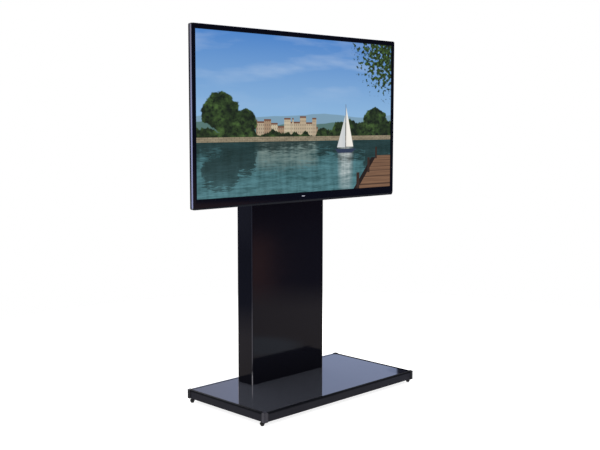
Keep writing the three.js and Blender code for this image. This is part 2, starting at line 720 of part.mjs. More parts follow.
// Column corner profile, drawn from the outer corner: a round nose, two rebated flanges, a screw port
function profileSection(land) {
  const rebate = CLADDING_THICKNESS + SEAT_GAP;
  const inner = rebate + PROFILE_WALL;
  const shape = new THREE.Shape();
  shape.moveTo(0, -NOSE_WIDTH);
  shape.lineTo(0, -NOSE_RADIUS);
  shape.absarc(-NOSE_RADIUS, -NOSE_RADIUS, NOSE_RADIUS, 0, Math.PI / 2, false);
  const outline = [
    [-(NOSE_WIDTH + land), 0],
    [-(NOSE_WIDTH + land), -rebate],
    [-(NOSE_WIDTH + land + PROFILE_FLANGE), -rebate],
    [-(NOSE_WIDTH + land + PROFILE_FLANGE), -inner],
    [-inner, -inner],
    [-inner, -(NOSE_WIDTH + PROFILE_FLANGE)],
    [-rebate, -(NOSE_WIDTH + PROFILE_FLANGE)],
    [-rebate, -NOSE_WIDTH],
  ];
  outline.forEach(([u, v]) => shape.lineTo(u, v));
  const port = new THREE.Path();
  port.absarc(-SCREW_PORT_INSET, -SCREW_PORT_INSET, SCREW_PORT_RADIUS, 0, 2 * Math.PI, true);
  shape.holes.push(port);
  return shape;
}

function addCornerProfiles(group) {
  for (const [endName, end] of Object.entries(ENDS)) {
    const section = profileSection(end > 0 ? REAR_LAND : 0);
    const profile = prism(section, 0, CLADDING_HEIGHT, ROUND_SEGMENTS);
    for (const [sideName, side] of Object.entries(SIDES)) {
      const place = [(side * COLUMN_WIDTH) / 2, (end * COLUMN_DEPTH) / 2, CLADDING_Z];
      piece(group, `column_profile_${endName}_${sideName}`, profile, glossBlack, place, [side, end]);
    }
  }
}

const mountBoltHeights = () =>
  [-1, 1].map(
    (level) =>
      DISPLAY_CENTRE_Z + (level * MOUNT_RAIL_SPACING) / 2 - MOUNT_RAIL_LIP - MOUNT_RAIL_BACK / 2,
  );

// Round holes for the mount's bolts, drilled along Y from y0 to y1 at the given heights
function boltHoles(heights, y0, y1, xPlaces) {
  return xPlaces.flatMap((x) =>
    heights.map((z) => barAlongY(RAIL_BOLT_RADIUS + RUNNING_GAP, y0, y1, x, z)),
  );
}

function frontCladding() {
  const width = COLUMN_WIDTH - 2 * (NOSE_WIDTH + SEAT_GAP);
  const shape = roundedRectangle(width, CLADDING_HEIGHT, CLADDING_CORNER, 0, CLADDING_HEIGHT / 2);
  const sheet = uprightSheet(shape, CLADDING_THICKNESS, CLADDING_BEVEL);
  const heights = mountBoltHeights().map((z) => z - CLADDING_Z);
  const xPlaces = Object.values(SIDES).map((side) => (side * UPRIGHT_SPACING) / 2);
  const holes = boltHoles(heights, -CUT_OVERRUN, CLADDING_THICKNESS + CUT_OVERRUN, xPlaces);
  const sleeveWidth = GROMMET_WIDTH + 2 * (GROMMET_WALL + SEAT_GAP);
  const sleeveHeight = GROMMET_HEIGHT + 2 * (GROMMET_WALL + SEAT_GAP);
  const grommetHole = slotShape(sleeveWidth, sleeveHeight, 0, DISPLAY_CENTRE_Z - CLADDING_Z);
  const depth = CLADDING_THICKNESS + 2 * CUT_OVERRUN;
  const cut = prism(grommetHole, -CLADDING_THICKNESS - CUT_OVERRUN, depth);
  return minus(sheet, ...holes, reframe(cut, X_AXIS, Z_AXIS, BACK_AXIS));
}

function sideCladding() {
  const width = COLUMN_DEPTH - 2 * (NOSE_WIDTH + SEAT_GAP);
  const shape = roundedRectangle(width, CLADDING_HEIGHT, CLADDING_CORNER, 0, CLADDING_HEIGHT / 2);
  return uprightSheet(shape, CLADDING_THICKNESS, CLADDING_BEVEL);
}

function upright() {
  const section = tubeSection(UPRIGHT_WIDTH, UPRIGHT_DEPTH, UPRIGHT_WALL, UPRIGHT_RADIUS);
  const post = prism(section, 0, UPRIGHT_TOP_Z - UPRIGHT_Z);
  const heights = mountBoltHeights().map((z) => z - UPRIGHT_Z);
  const front = -UPRIGHT_DEPTH / 2;
  return minus(post, ...boltHoles(heights, front - CUT_OVERRUN, front + UPRIGHT_WALL + CUT_OVERRUN, [0]));
}

// Top cap: a rounded lid with a locating rim inside the profiles
function topCap() {
  const lid = bevelledSheet(
    roundedRectangle(COLUMN_WIDTH, COLUMN_DEPTH, NOSE_RADIUS),
    0,
    CAP_THICKNESS,
    CAP_BEVEL,
    ROUND_SEGMENTS,
  );
  const rim = roundedRectangle(
    COLUMN_WIDTH - 2 * CAP_RIM_INSET,
    COLUMN_DEPTH - 2 * CAP_RIM_INSET,
    CAP_RIM_WALL,
  );
  const inside = CAP_RIM_INSET + CAP_RIM_WALL;
  const hollow = new THREE.Path();
  roundedRectangle(COLUMN_WIDTH - 2 * inside, COLUMN_DEPTH - 2 * inside, CAP_RIM_WALL / 2, 0, 0, hollow);
  rim.holes.push(hollow);
  return union(lid, prism(rim, -CAP_RIM_DEPTH, CAP_RIM_DEPTH + CAP_THICKNESS / 2));
}

// Cable grommet: an oval sleeve with a flange on the front of the panel
function cableGrommet() {
  const opening = () => slotShape(GROMMET_WIDTH, GROMMET_HEIGHT);
  const sleeve = slotShape(GROMMET_WIDTH + 2 * GROMMET_WALL, GROMMET_HEIGHT + 2 * GROMMET_WALL);
  const flange = slotShape(GROMMET_WIDTH + 2 * GROMMET_FLANGE, GROMMET_HEIGHT + 2 * GROMMET_FLANGE);
  const length = CLADDING_THICKNESS + GROMMET_SLEEVE_REACH + SEAT_GAP;
  const body = union(prism(flange, 0, GROMMET_FLANGE_THICKNESS), prism(sleeve, -length, length + SEAT_GAP));
  const bore = prism(opening(), -length - CUT_OVERRUN, length + GROMMET_FLANGE_THICKNESS + 2 * CUT_OVERRUN);
  return reframe(minus(body, bore), X_AXIS, Z_AXIS, BACK_AXIS);
}

function addColumn(group) {
  const cladding = new THREE.Group();
  cladding.position.set(0, COLUMN_CENTRE_Y, 0);
  group.add(cladding);
  addCornerProfiles(cladding);
  piece(cladding, "column_front_panel", frontCladding(), glossBlack, [0, -COLUMN_DEPTH / 2, CLADDING_Z]);
  const side = sideCladding();
  for (const [name, sign] of Object.entries(SIDES)) {
    const place = [(sign * COLUMN_WIDTH) / 2, 0, CLADDING_Z];
    piece(cladding, `column_side_panel_${name}`, side, glossBlack, place).rotation.z = (sign * Math.PI) / 2;
  }
  piece(cladding, "column_top_cap", topCap(), glossBlack, [0, 0, CAP_UNDERSIDE_Z]);
  const plate = roundedRectangle(FOOT_PLATE_WIDTH, FOOT_PLATE_DEPTH, FOOT_PLATE_CORNER);
  const footPlate = prism(plate, 0, FOOT_PLATE_THICKNESS);
  piece(cladding, "column_foot_plate", footPlate, steelDark, [0, 0, FOOT_PLATE_Z]);
  const post = upright();
  for (const [name, sign] of Object.entries(SIDES)) {
    const place = [(sign * UPRIGHT_SPACING) / 2, UPRIGHT_CENTRE_Y, UPRIGHT_Z];
    piece(group, `column_upright_${name}`, post, steelDark, place);
  }
  const tieLength = UPRIGHT_SPACING - UPRIGHT_WIDTH - 2 * SEAT_GAP;
  const tie = alongX(tubeSection(TIE_DEPTH, TIE_HEIGHT, TIE_WALL, TIE_RADIUS), tieLength);
  const tieZ = UPRIGHT_TOP_Z - TIE_DROP - TIE_HEIGHT / 2;
  piece(group, "column_upright_tie", tie, steelDark, [0, UPRIGHT_CENTRE_Y, tieZ]);
  const grommetPlace = [0, COLUMN_FRONT_Y - SEAT_GAP, DISPLAY_CENTRE_Z];
  piece(group, "cable_grommet", cableGrommet(), rubberBlack, grommetPlace);
}

// Rear service door, its outer face at y = 0 of the door's own frame
const DOOR_EDGE_X = COLUMN_WIDTH / 2 - NOSE_WIDTH - REAR_LAND;
const DOOR_HALF_WIDTH = DOOR_EDGE_X - DOOR_GAP;
const DOOR_Z = BASE_TOP_Z + DOOR_BOTTOM_GAP;
const DOOR_HEIGHT = CAP_UNDERSIDE_Z - DOOR_TOP_GAP - DOOR_Z;
const HINGE_X = DOOR_EDGE_X - DOOR_GAP / 2;
const HINGE_AXIS_OUT = SEAT_GAP + HINGE_KNUCKLE_RADIUS;
const LOCK_X = -(DOOR_HALF_WIDTH - LOCK_INSET);

function serviceDoor() {
  const face = roundedRectangle(2 * DOOR_HALF_WIDTH, DOOR_HEIGHT, CLADDING_CORNER, 0, DOOR_HEIGHT / 2);
  const sheet = uprightSheet(face, CLADDING_THICKNESS, CLADDING_BEVEL).translate([0, -CLADDING_THICKNESS, 0]);
  const through = CLADDING_THICKNESS + 2 * CUT_OVERRUN;
  const cutThrough = (shape) =>
    reframe(prism(shape, -CUT_OVERRUN, through, SLOT_SEGMENTS), X_AXIS, Z_AXIS, BACK_AXIS);
  const notch = roundedRectangle(DOOR_NOTCH_WIDTH, 2 * DOOR_NOTCH_HEIGHT, DOOR_NOTCH_RADIUS);
  const ventHeights = [DOOR_VENT_INSET, DOOR_HEIGHT - DOOR_VENT_INSET];
  const vents = ventHeights.flatMap((z) =>
    row(DOOR_VENT_COUNT, DOOR_VENT_PITCH).map((x) =>
      cutThrough(slotShape(DOOR_VENT_WIDTH, DOOR_VENT_LENGTH, x, z)),
    ),
  );
  const lockHole = barAlongY(
    LOCK_BARREL_RADIUS + RUNNING_GAP,
    -CLADDING_THICKNESS - CUT_OVERRUN,
    CUT_OVERRUN,
    LOCK_X,
    LOCK_HEIGHT - DOOR_Z,
  );
  return minus(sheet, cutThrough(notch), lockHole, ...vents);
}

// Frame of flat bar on edge that stiffens the door's inner face
function doorStiffener() {
  const width = 2 * (DOOR_HALF_WIDTH - DOOR_STIFFENER_INSET);
  const height = DOOR_HEIGHT - 2 * DOOR_STIFFENER_INSET;
  const wall = DOOR_STIFFENER_WALL;
  const section = roundedRectangle(width, height, 2 * wall, 0, DOOR_HEIGHT / 2);
  const hollow = new THREE.Path();
  roundedRectangle(width - 2 * wall, height - 2 * wall, wall, 0, DOOR_HEIGHT / 2, hollow);
  section.holes.push(hollow);
  const start = CLADDING_THICKNESS + SEAT_GAP;
  return reframe(prism(section, start, DOOR_STIFFENER_DEPTH), X_AXIS, Z_AXIS, BACK_AXIS);
}

// Butt hinge about a pin along Z: the fixed leaf has the end knuckles and the pin
function fixedHingeLeaf() {
  const half = HINGE_LENGTH / 2;
  const middle = HINGE_MIDDLE_LENGTH / 2;
  const back = -HINGE_KNUCKLE_RADIUS;
  const leaf = block([0, back, -half], [HINGE_FIXED_LEAF_WIDTH, back + HINGE_LEAF_THICKNESS, half]);
  const relief = HINGE_KNUCKLE_RADIUS + SEAT_GAP;
  const window = block([-relief, back - CUT_OVERRUN, -middle], [relief, CUT_OVERRUN, middle]);
  const knuckles = [-1, 1].map((end) => {
    const low = end > 0 ? middle : -half;
    const high = end > 0 ? half : -middle;
    return bar(HINGE_KNUCKLE_RADIUS, low, high);
  });
  return union(minus(leaf, window), ...knuckles, bar(HINGE_PIN_RADIUS, -half, half));
}

function doorHingeLeaf() {
  const half = HINGE_LENGTH / 2;
  const middle = HINGE_MIDDLE_LENGTH / 2 - SEAT_GAP;
  const back = -HINGE_KNUCKLE_RADIUS;
  const relief = HINGE_KNUCKLE_RADIUS + SEAT_GAP;
  const leaf = block([-HINGE_DOOR_LEAF_WIDTH, back, -half], [-relief, back + HINGE_LEAF_THICKNESS, half]);
  const front = back + HINGE_LEAF_THICKNESS;
  const neck = block([-relief - HINGE_LEAF_THICKNESS, back, -middle], [0, front, middle]);
  const bore = bar(HINGE_PIN_RADIUS + HINGE_BORE_GAP, -half - CUT_OVERRUN, half + CUT_OVERRUN, FOOT_SEGMENTS);
  return minus(union(leaf, neck, bar(HINGE_KNUCKLE_RADIUS, -middle, middle)), bore);
}

// Quarter-turn lock: a flanged barrel through the door with a tongue behind the profile's flange
function doorLock() {
  const tongueTop = -(CLADDING_THICKNESS + SEAT_GAP + PROFILE_WALL + LOCK_TONGUE_GAP);
  const tongueLow = tongueTop - LOCK_TONGUE_THICKNESS;
  const barrel = turned(
    [
      [0, tongueLow],
      [LOCK_BARREL_RADIUS, tongueLow],
      [LOCK_BARREL_RADIUS, SEAT_GAP],
      [LOCK_FLANGE_RADIUS, SEAT_GAP],
      [LOCK_FLANGE_RADIUS, SEAT_GAP + LOCK_FLANGE_THICKNESS],
      [0, SEAT_GAP + LOCK_FLANGE_THICKNESS],
    ],
    FOOT_SEGMENTS,
  );
  const half = LOCK_TONGUE_WIDTH / 2;
  const tongue = block([-half, 0, tongueLow], [half, LOCK_TONGUE_REACH, tongueTop]);
  const slotTop = SEAT_GAP + LOCK_FLANGE_THICKNESS;
  const keySlot = block(
    [-LOCK_SLOT_WIDTH / 2, -LOCK_SLOT_LENGTH / 2, slotTop - LOCK_SLOT_DEPTH],
    [LOCK_SLOT_WIDTH / 2, LOCK_SLOT_LENGTH / 2, slotTop + CUT_OVERRUN],
  );
  const upright = minus(union(barrel, tongue), keySlot);
  return reframe(upright, X_AXIS.clone().negate(), Z_AXIS, Y_AXIS);
}

function addDoor(group) {
  const door = new THREE.Group();
  door.position.set(0, COLUMN_REAR_Y, 0);
  group.add(door);
  piece(door, "rear_door", serviceDoor(), glossBlack, [0, 0, DOOR_Z]);
  piece(door, "door_stiffener", doorStiffener(), steelDark, [0, 0, DOOR_Z]);
  const fixed = fixedHingeLeaf();
  const moving = doorHingeLeaf();
  const heights = { lower: DOOR_Z + HINGE_INSET, upper: DOOR_Z + DOOR_HEIGHT - HINGE_INSET };
  for (const [name, z] of Object.entries(heights)) {
    const place = [HINGE_X, HINGE_AXIS_OUT, z];
    piece(door, `hinge_frame_leaf_${name}`, fixed, zincSteel, place);
    piece(door, `hinge_door_leaf_${name}`, moving, zincSteel, place);
  }
  piece(door, "door_lock", doorLock(), zincSteel, [LOCK_X, 0, LOCK_HEIGHT]);
}

// Mount rail: a folded strip with a standing lip that the display's arms hook over
function mountRail() {
  const half = MOUNT_RAIL_THICKNESS / 2;
  const backLine = -SEAT_GAP - half;
  const lipLine = -SEAT_GAP - MOUNT_RAIL_SHELF + half;
  const path = [
    [backLine, -MOUNT_RAIL_LIP - MOUNT_RAIL_BACK],
    [backLine, -MOUNT_RAIL_LIP],
    [lipLine, -MOUNT_RAIL_LIP],
    [lipLine, 0],
  ];
  const strip = alongX(foldedSection(path, MOUNT_RAIL_THICKNESS, MOUNT_RAIL_BEND), MOUNT_RAIL_LENGTH);
  const middle = -MOUNT_RAIL_LIP - MOUNT_RAIL_BACK / 2;
  const depth = MOUNT_RAIL_THICKNESS + 2 * CUT_OVERRUN;
  const slots = row(MOUNT_SLOT_COUNT, MOUNT_SLOT_PITCH).map((x) => {
    const shape = slotShape(MOUNT_SLOT_LENGTH, MOUNT_SLOT_WIDTH, x, middle);
    const slot = prism(shape, -CUT_OVERRUN, depth, SLOT_SEGMENTS);
    return reframe(slot, X_AXIS, Z_AXIS, BACK_AXIS);
  });
  const xPlaces = Object.values(SIDES).map((side) => (side * UPRIGHT_SPACING) / 2);
  const holes = boltHoles([middle], -MOUNT_RAIL_THICKNESS - CUT_OVERRUN, CUT_OVERRUN, xPlaces);
  return minus(strip, ...slots, ...holes);
}

// Hexagon bolt with its washer, through the rail and the cladding into the upright
function railBolt() {
  const shank = bar(RAIL_BOLT_RADIUS, -RAIL_BOLT_REACH, RAIL_BOLT_WASHER);
  const washer = bar(RAIL_BOLT_WASHER_RADIUS, 0, RAIL_BOLT_WASHER, FOOT_SEGMENTS);
  const head = bar(RAIL_BOLT_HEX_RADIUS, RAIL_BOLT_WASHER / 2, RAIL_BOLT_WASHER + RAIL_BOLT_HEAD, HEX_SIDES);
  return reframe(union(washer, shank, head), X_AXIS, Z_AXIS, BACK_AXIS);
}

// Display arm: a channel whose two cheeks carry hooks over the rails' lips, in (y, z) from the web
function armCheek() {
  const web = DISPLAY_BACK_Y + SEAT_GAP;
  const plain = LIP_FRONT_Y - ARM_NOTCH_CLEARANCE - web;
  const notchBack = LIP_REAR_Y + ARM_NOTCH_CLEARANCE - web;
  const hookBack = notchBack + ARM_FINGER_WIDTH;
  const outline = [[0, -ARM_LENGTH / 2], [plain, -ARM_LENGTH / 2]];
  for (const level of [-1, 1]) {
    const lipTop = (level * MOUNT_RAIL_SPACING) / 2;
    const ceiling = lipTop + SEAT_GAP + (level < 0 ? ARM_LOWER_HOOK_PLAY : 0);
    const tip = lipTop - ARM_FINGER_LENGTH;
    const cap = lipTop + ARM_HOOK_CAP;
    outline.push(
      [plain, ceiling],
      [notchBack, ceiling],
      [notchBack, tip + ARM_FINGER_CHAMFER],
      [notchBack + ARM_FINGER_CHAMFER, tip],
      [hookBack - ARM_FINGER_CHAMFER, tip],
      [hookBack, tip + ARM_FINGER_CHAMFER],
      [hookBack, cap],
      [plain, cap + ARM_HOOK_GUSSET],
    );
  }
  outline.push([plain, ARM_LENGTH / 2], [0, ARM_LENGTH / 2]);
  return polygon(outline);
}

function mountArm() {
  const half = ARM_WIDTH / 2;
  const cheek = alongX(armCheek(), ARM_THICKNESS);
  const reach = half - ARM_THICKNESS / 2;
  const cheeks = Object.values(SIDES).map((side) => cheek.translate([side * reach, 0, 0]));
  const web = block([-half, 0, -ARM_LENGTH / 2], [half, ARM_THICKNESS, ARM_LENGTH / 2]);
  const depth = ARM_THICKNESS + 2 * CUT_OVERRUN;
  const slots = row(ARM_SLOT_STEPS + 1, VESA_SPACING / ARM_SLOT_STEPS).map((z) => {
    const shape = slotShape(ARM_SLOT_WIDTH, ARM_SLOT_LENGTH, 0, z);
    return reframe(prism(shape, -depth + CUT_OVERRUN, depth, SLOT_SEGMENTS), X_AXIS, Z_AXIS, BACK_AXIS);
  });
  return minus(union(web, ...cheeks), ...slots);
}

// Machine screw with its washer, from inside the arm into the display's boss
function vesaScrew() {
  const head = VESA_WASHER + VESA_SCREW_HEAD;
  const shank = bar(VESA_SCREW_RADIUS, -VESA_SCREW_REACH - ARM_THICKNESS, VESA_WASHER);
  const washer = bar(VESA_WASHER_RADIUS, 0, VESA_WASHER, FOOT_SEGMENTS);
  const crown = turned(
    [
      [0, 0],
      [VESA_SCREW_HEAD_RADIUS, 0],
      [VESA_SCREW_HEAD_RADIUS, head - VESA_WASHER / 2],
      [VESA_SCREW_HEAD_RADIUS - VESA_WASHER / 2, head],
      [0, head],
    ],
    PIN_SEGMENTS,
  );
  return reframe(union(shank, washer, crown), X_AXIS.clone().negate(), Z_AXIS, Y_AXIS);
}

function addMount(group) {
  const rail = mountRail();
  const bolt = railBolt();
  const arm = mountArm();
  const screw = vesaScrew();
  const boltY = COLUMN_FRONT_Y - 2 * SEAT_GAP - MOUNT_RAIL_THICKNESS;
  const boltHeights = mountBoltHeights();
  for (const [i, name] of ["lower", "upper"].entries()) {
    const z = DISPLAY_CENTRE_Z + (i * 2 - 1) * (MOUNT_RAIL_SPACING / 2);
    piece(group, `mount_rail_${name}`, rail, steelDark, [0, COLUMN_FRONT_Y, z]);
    for (const [sideName, side] of Object.entries(SIDES)) {
      const place = [(side * UPRIGHT_SPACING) / 2, boltY, boltHeights[i]];
      piece(group, `rail_bolt_${name}_${sideName}`, bolt, zincSteel, place);
    }
  }
  for (const [sideName, side] of Object.entries(SIDES)) {
    const x = (side * VESA_SPACING) / 2;
    piece(group, `mount_arm_${sideName}`, arm, steelDark, [x, DISPLAY_BACK_Y + SEAT_GAP, DISPLAY_CENTRE_Z]);
    for (const [i, name] of ["lower", "upper"].entries()) {
      const z = DISPLAY_CENTRE_Z + (i * 2 - 1) * (VESA_SPACING / 2);
      const y = DISPLAY_BACK_Y + ARM_THICKNESS + 2 * SEAT_GAP;
      piece(group, `vesa_screw_${name}_${sideName}`, screw, zincSteel, [x, y, z]);
    }
  }
}

// Display pieces are drawn in the display's own frame: x right, y up, z towards the viewer,
// with z = 0 on the bezel's front face
function bezel() {
  const [width, height] = [DISPLAY_WIDTH, DISPLAY_HEIGHT];
  const frontHeight = height - BEZEL_EDGE_CHAMFER - BEZEL_BOTTOM_CHAMFER;
  const frontShift = (BEZEL_BOTTOM_CHAMFER - BEZEL_EDGE_CHAMFER) / 2;
  const frontRadius = BEZEL_CORNER - BEZEL_EDGE_CHAMFER;
  const body = loft([
    ring(width, height, BEZEL_CORNER, -BEZEL_DEPTH),
    ring(width, height, BEZEL_CORNER, -BEZEL_CHAMFER_DEPTH),
    ring(width - 2 * BEZEL_EDGE_CHAMFER, frontHeight, frontRadius, 0, frontShift),
  ]);
  const edge = BEZEL_INNER_CHAMFER;
  const wide = 2 * edge * ((BEZEL_LIP + CUT_OVERRUN) / BEZEL_LIP);
  const opening = loft([
    ring(SCREEN_WIDTH, SCREEN_HEIGHT, edge, -BEZEL_DEPTH - CUT_OVERRUN, SCREEN_OFFSET_Y),
    ring(SCREEN_WIDTH, SCREEN_HEIGHT, edge, -BEZEL_LIP, SCREEN_OFFSET_Y),
    ring(SCREEN_WIDTH + wide, SCREEN_HEIGHT + wide, edge, CUT_OVERRUN, SCREEN_OFFSET_Y),
  ]);
  const rebateWidth = SCREEN_WIDTH + 2 * (LCD_BORDER + SEAT_GAP);
  const rebateHeight = SCREEN_HEIGHT + 2 * (LCD_BORDER + SEAT_GAP);
  const rebate = prism(
    roundedRectangle(rebateWidth, rebateHeight, edge, 0, SCREEN_OFFSET_Y),
    -BEZEL_DEPTH - CUT_OVERRUN,
    BEZEL_DEPTH + CUT_OVERRUN - BEZEL_LIP,
  );
  const lampPocket = prism(
    roundedRectangle(LAMP_WIDTH + 2 * SEAT_GAP, LAMP_HEIGHT + 2 * SEAT_GAP, LAMP_RADIUS, 0, LAMP_Y),
    -LAMP_THICKNESS - SEAT_GAP,
    LAMP_THICKNESS + SEAT_GAP + CUT_OVERRUN,
    SLOT_SEGMENTS,
  );
  return minus(body, opening, rebate, lampPocket);
}

const LAMP_Y = -DISPLAY_HEIGHT / 2 + (BEZEL_BOTTOM + BEZEL_BOTTOM_CHAMFER) / 2;

function backlightTray() {
  const width = SCREEN_WIDTH + 2 * (LCD_BORDER + TRAY_MARGIN);
  const height = SCREEN_HEIGHT + 2 * (LCD_BORDER + TRAY_MARGIN);
  const outer = roundedRectangle(width, height, 2 * TRAY_WALL);
  const inner = roundedRectangle(width - 2 * TRAY_WALL, height - 2 * TRAY_WALL, TRAY_WALL);
  const body = prism(outer, -TRAY_DEPTH, TRAY_DEPTH);
  return minus(body, prism(inner, TRAY_WALL - TRAY_DEPTH, TRAY_DEPTH));
}

// Rear housing: a moulded shell that steps from a thin rim to a drafted bulge
function housingRings(wall, front) {
  const rimInset = SHELL_RIM_INSET + wall;
  const width = DISPLAY_WIDTH - 2 * rimInset;
  const height = DISPLAY_HEIGHT - 2 * rimInset;
  const radius = BEZEL_CORNER - rimInset > 0 ? BEZEL_CORNER - rimInset : SHELL_RIM_INSET;
  const bulgeWidth = BULGE_WIDTH - 2 * wall;
  const bulgeHeight = BULGE_HEIGHT - 2 * wall;
  const bulgeRadius = BULGE_RADIUS - wall;
  const shoulderWidth = bulgeWidth - 2 * BULGE_DRAFT;
  const shoulderHeight = bulgeHeight - 2 * BULGE_DRAFT;
  const side = BEZEL_DEPTH + SEAT_GAP + SHELL_SIDE_DEPTH;
  const edge = BEZEL_DEPTH + SEAT_GAP + SHELL_EDGE_DEPTH;
  return [
    ring(
      shoulderWidth - 2 * BULGE_SHOULDER_INSET,
      shoulderHeight - 2 * BULGE_SHOULDER_INSET,
      bulgeRadius - BULGE_SHOULDER_INSET,
      wall - SHELL_TOTAL_DEPTH,
      -BULGE_DROP,
    ),
    ring(shoulderWidth, shoulderHeight, bulgeRadius, wall - BULGE_SHOULDER_DEPTH, -BULGE_DROP),
    ring(bulgeWidth, bulgeHeight, bulgeRadius, wall - BULGE_START_DEPTH, -BULGE_DROP),
    ring(width - 2 * SHELL_EDGE_INSET, height - 2 * SHELL_EDGE_INSET, radius, wall - edge),
    ring(width, height, radius, wall - side),
    ring(width, height, radius, front),
  ];
}

// Upright vent slots through the bulge's rear wall, in two groups
function ventCuts() {
  const start = -SHELL_TOTAL_DEPTH - CUT_OVERRUN;
  const depth = SHELL_WALL + 2 * CUT_OVERRUN;
  const places = Object.values(SIDES).flatMap((side) =>
    row(VENT_COUNT, VENT_PITCH).map((x) => side * VENT_GROUP_X + x),
  );
  return places.map((x) =>
    prism(slotShape(VENT_WIDTH, VENT_LENGTH, x, VENT_HEIGHT_Y), start, depth, SLOT_SEGMENTS),
  );
}

// Short slots for the loudspeakers through the bulge's sloping underside
function speakerCuts() {
  const start = -BULGE_SHOULDER_DEPTH - CUT_OVERRUN;
  const depth = BULGE_SHOULDER_DEPTH - BULGE_START_DEPTH + 2 * SHELL_WALL;
  const places = Object.values(SIDES).flatMap((side) =>
    row(SPEAKER_SLOT_COUNT, SPEAKER_SLOT_PITCH).map((x) => side * SPEAKER_X + x),
  );
  const y = -SPEAKER_Y - BULGE_DROP / 2;
  return places.map((x) =>
    prism(slotShape(SPEAKER_SLOT_WIDTH, SPEAKER_SLOT_LENGTH, x, y), start, depth, SLOT_SEGMENTS),
  );
}

function bossPlaces() {
  return Object.values(SIDES).flatMap((sx) =>
    Object.values(SIDES).map((sy) => [(sx * VESA_SPACING) / 2, (sy * VESA_SPACING) / 2]),
  );
}

function rearHousing() {
  const front = -BEZEL_DEPTH - SEAT_GAP;
  const shell = minus(loft(housingRings(0, front)), loft(housingRings(SHELL_WALL, front + CUT_OVERRUN)));
  const back = -SHELL_TOTAL_DEPTH;
  const inside = back + SHELL_WALL / 2;
  const bosses = bossPlaces().map(([x, y]) =>
    bar(BOSS_RADIUS, inside, back + BOSS_LENGTH, FOOT_SEGMENTS).translate([x, y, 0]),
  );
  const seat = back + VESA_SCREW_REACH + SEAT_GAP;
  const bossHole = bar(VESA_SCREW_RADIUS + RUNNING_GAP, back - CUT_OVERRUN, seat);
  const bossHoles = bossPlaces().map(([x, y]) => bossHole.translate([x, y, 0]));
  const pocketWall = (extra, start, depth) =>
    prism(
      roundedRectangle(
        TERMINAL_WIDTH + 2 * extra,
        TERMINAL_HEIGHT + 2 * extra,
        TERMINAL_RADIUS + extra,
        TERMINAL_X,
        TERMINAL_Y,
      ),
      start,
      depth,
    );
  const pocket = pocketWall(SHELL_WALL, inside, TERMINAL_DEPTH + SHELL_WALL / 2);
  const pocketCut = pocketWall(0, back - CUT_OVERRUN, TERMINAL_DEPTH + CUT_OVERRUN);
  const inletHole = prism(
    roundedRectangle(INLET_WIDTH + 2 * SEAT_GAP, INLET_HEIGHT + 2 * SEAT_GAP, INLET_RADIUS, INLET_X, INLET_Y),
    back - CUT_OVERRUN,
    SHELL_WALL + 2 * CUT_OVERRUN,
  );
  const buttonHole = bar(BUTTON_RADIUS + RUNNING_GAP, -CUT_OVERRUN, SHELL_WALL + CUT_OVERRUN);
  const buttonCut = reframe(buttonHole, X_AXIS.clone().negate(), Z_AXIS, Y_AXIS);
  const podY = -DISPLAY_HEIGHT / 2 + SHELL_RIM_INSET + POD_HEIGHT / 2;
  const podShape = (wall) =>
    roundedRectangle(POD_WIDTH - 2 * wall, POD_HEIGHT - 2 * wall, POD_RADIUS - wall, 0, podY);
  const pod = prism(podShape(0), front - POD_DEPTH, POD_DEPTH);
  const podHollow = prism(podShape(SHELL_WALL), front - POD_DEPTH + SHELL_WALL, POD_DEPTH + CUT_OVERRUN);
  return minus(
    union(shell, ...bosses, pocket, pod),
    ...bossHoles,
    pocketCut,
    inletHole,
    podHollow,
    buttonCut.translate([0, BUTTON_Y, BUTTON_Z]),
    ...ventCuts(),
    ...speakerCuts(),
  );
}

const BUTTON_Y = -DISPLAY_HEIGHT / 2 + SHELL_RIM_INSET;
const BUTTON_Z = -(BEZEL_DEPTH + SEAT_GAP + (POD_DEPTH - SHELL_WALL) / 2);

// Terminal panel: a plate on the pocket's floor with open sockets that face the rear
function terminalPanel() {
  const width = TERMINAL_WIDTH - 2 * SEAT_GAP;
  const height = TERMINAL_HEIGHT - 2 * SEAT_GAP;
  const plate = prism(roundedRectangle(width, height, TERMINAL_RADIUS), -TERMINAL_PLATE, TERMINAL_PLATE);
  const sizes = [
    [HDMI_SOCKET_WIDTH, HDMI_SOCKET_HEIGHT],
    [HDMI_SOCKET_WIDTH, HDMI_SOCKET_HEIGHT],
    [USB_SOCKET_WIDTH, USB_SOCKET_HEIGHT],
    [LAN_SOCKET_WIDTH, LAN_SOCKET_HEIGHT],
  ];
  const sockets = row(sizes.length, SOCKET_PITCH).map((x, i) => [x, ...sizes[i]]);
  const back = -TERMINAL_PLATE - SOCKET_PROUD;
  const shells = sockets.map(([x, w, h]) =>
    block(
      [x - w / 2 - SOCKET_WALL, -h / 2 - SOCKET_WALL, back],
      [x + w / 2 + SOCKET_WALL, h / 2 + SOCKET_WALL, -TERMINAL_PLATE / 2],
    ),
  );
  const mouths = sockets.map(([x, w, h]) =>
    block([x - w / 2, -h / 2, back - CUT_OVERRUN], [x + w / 2, h / 2, -TERMINAL_PLATE]),
  );
  return minus(union(plate, ...shells), ...mouths);
}

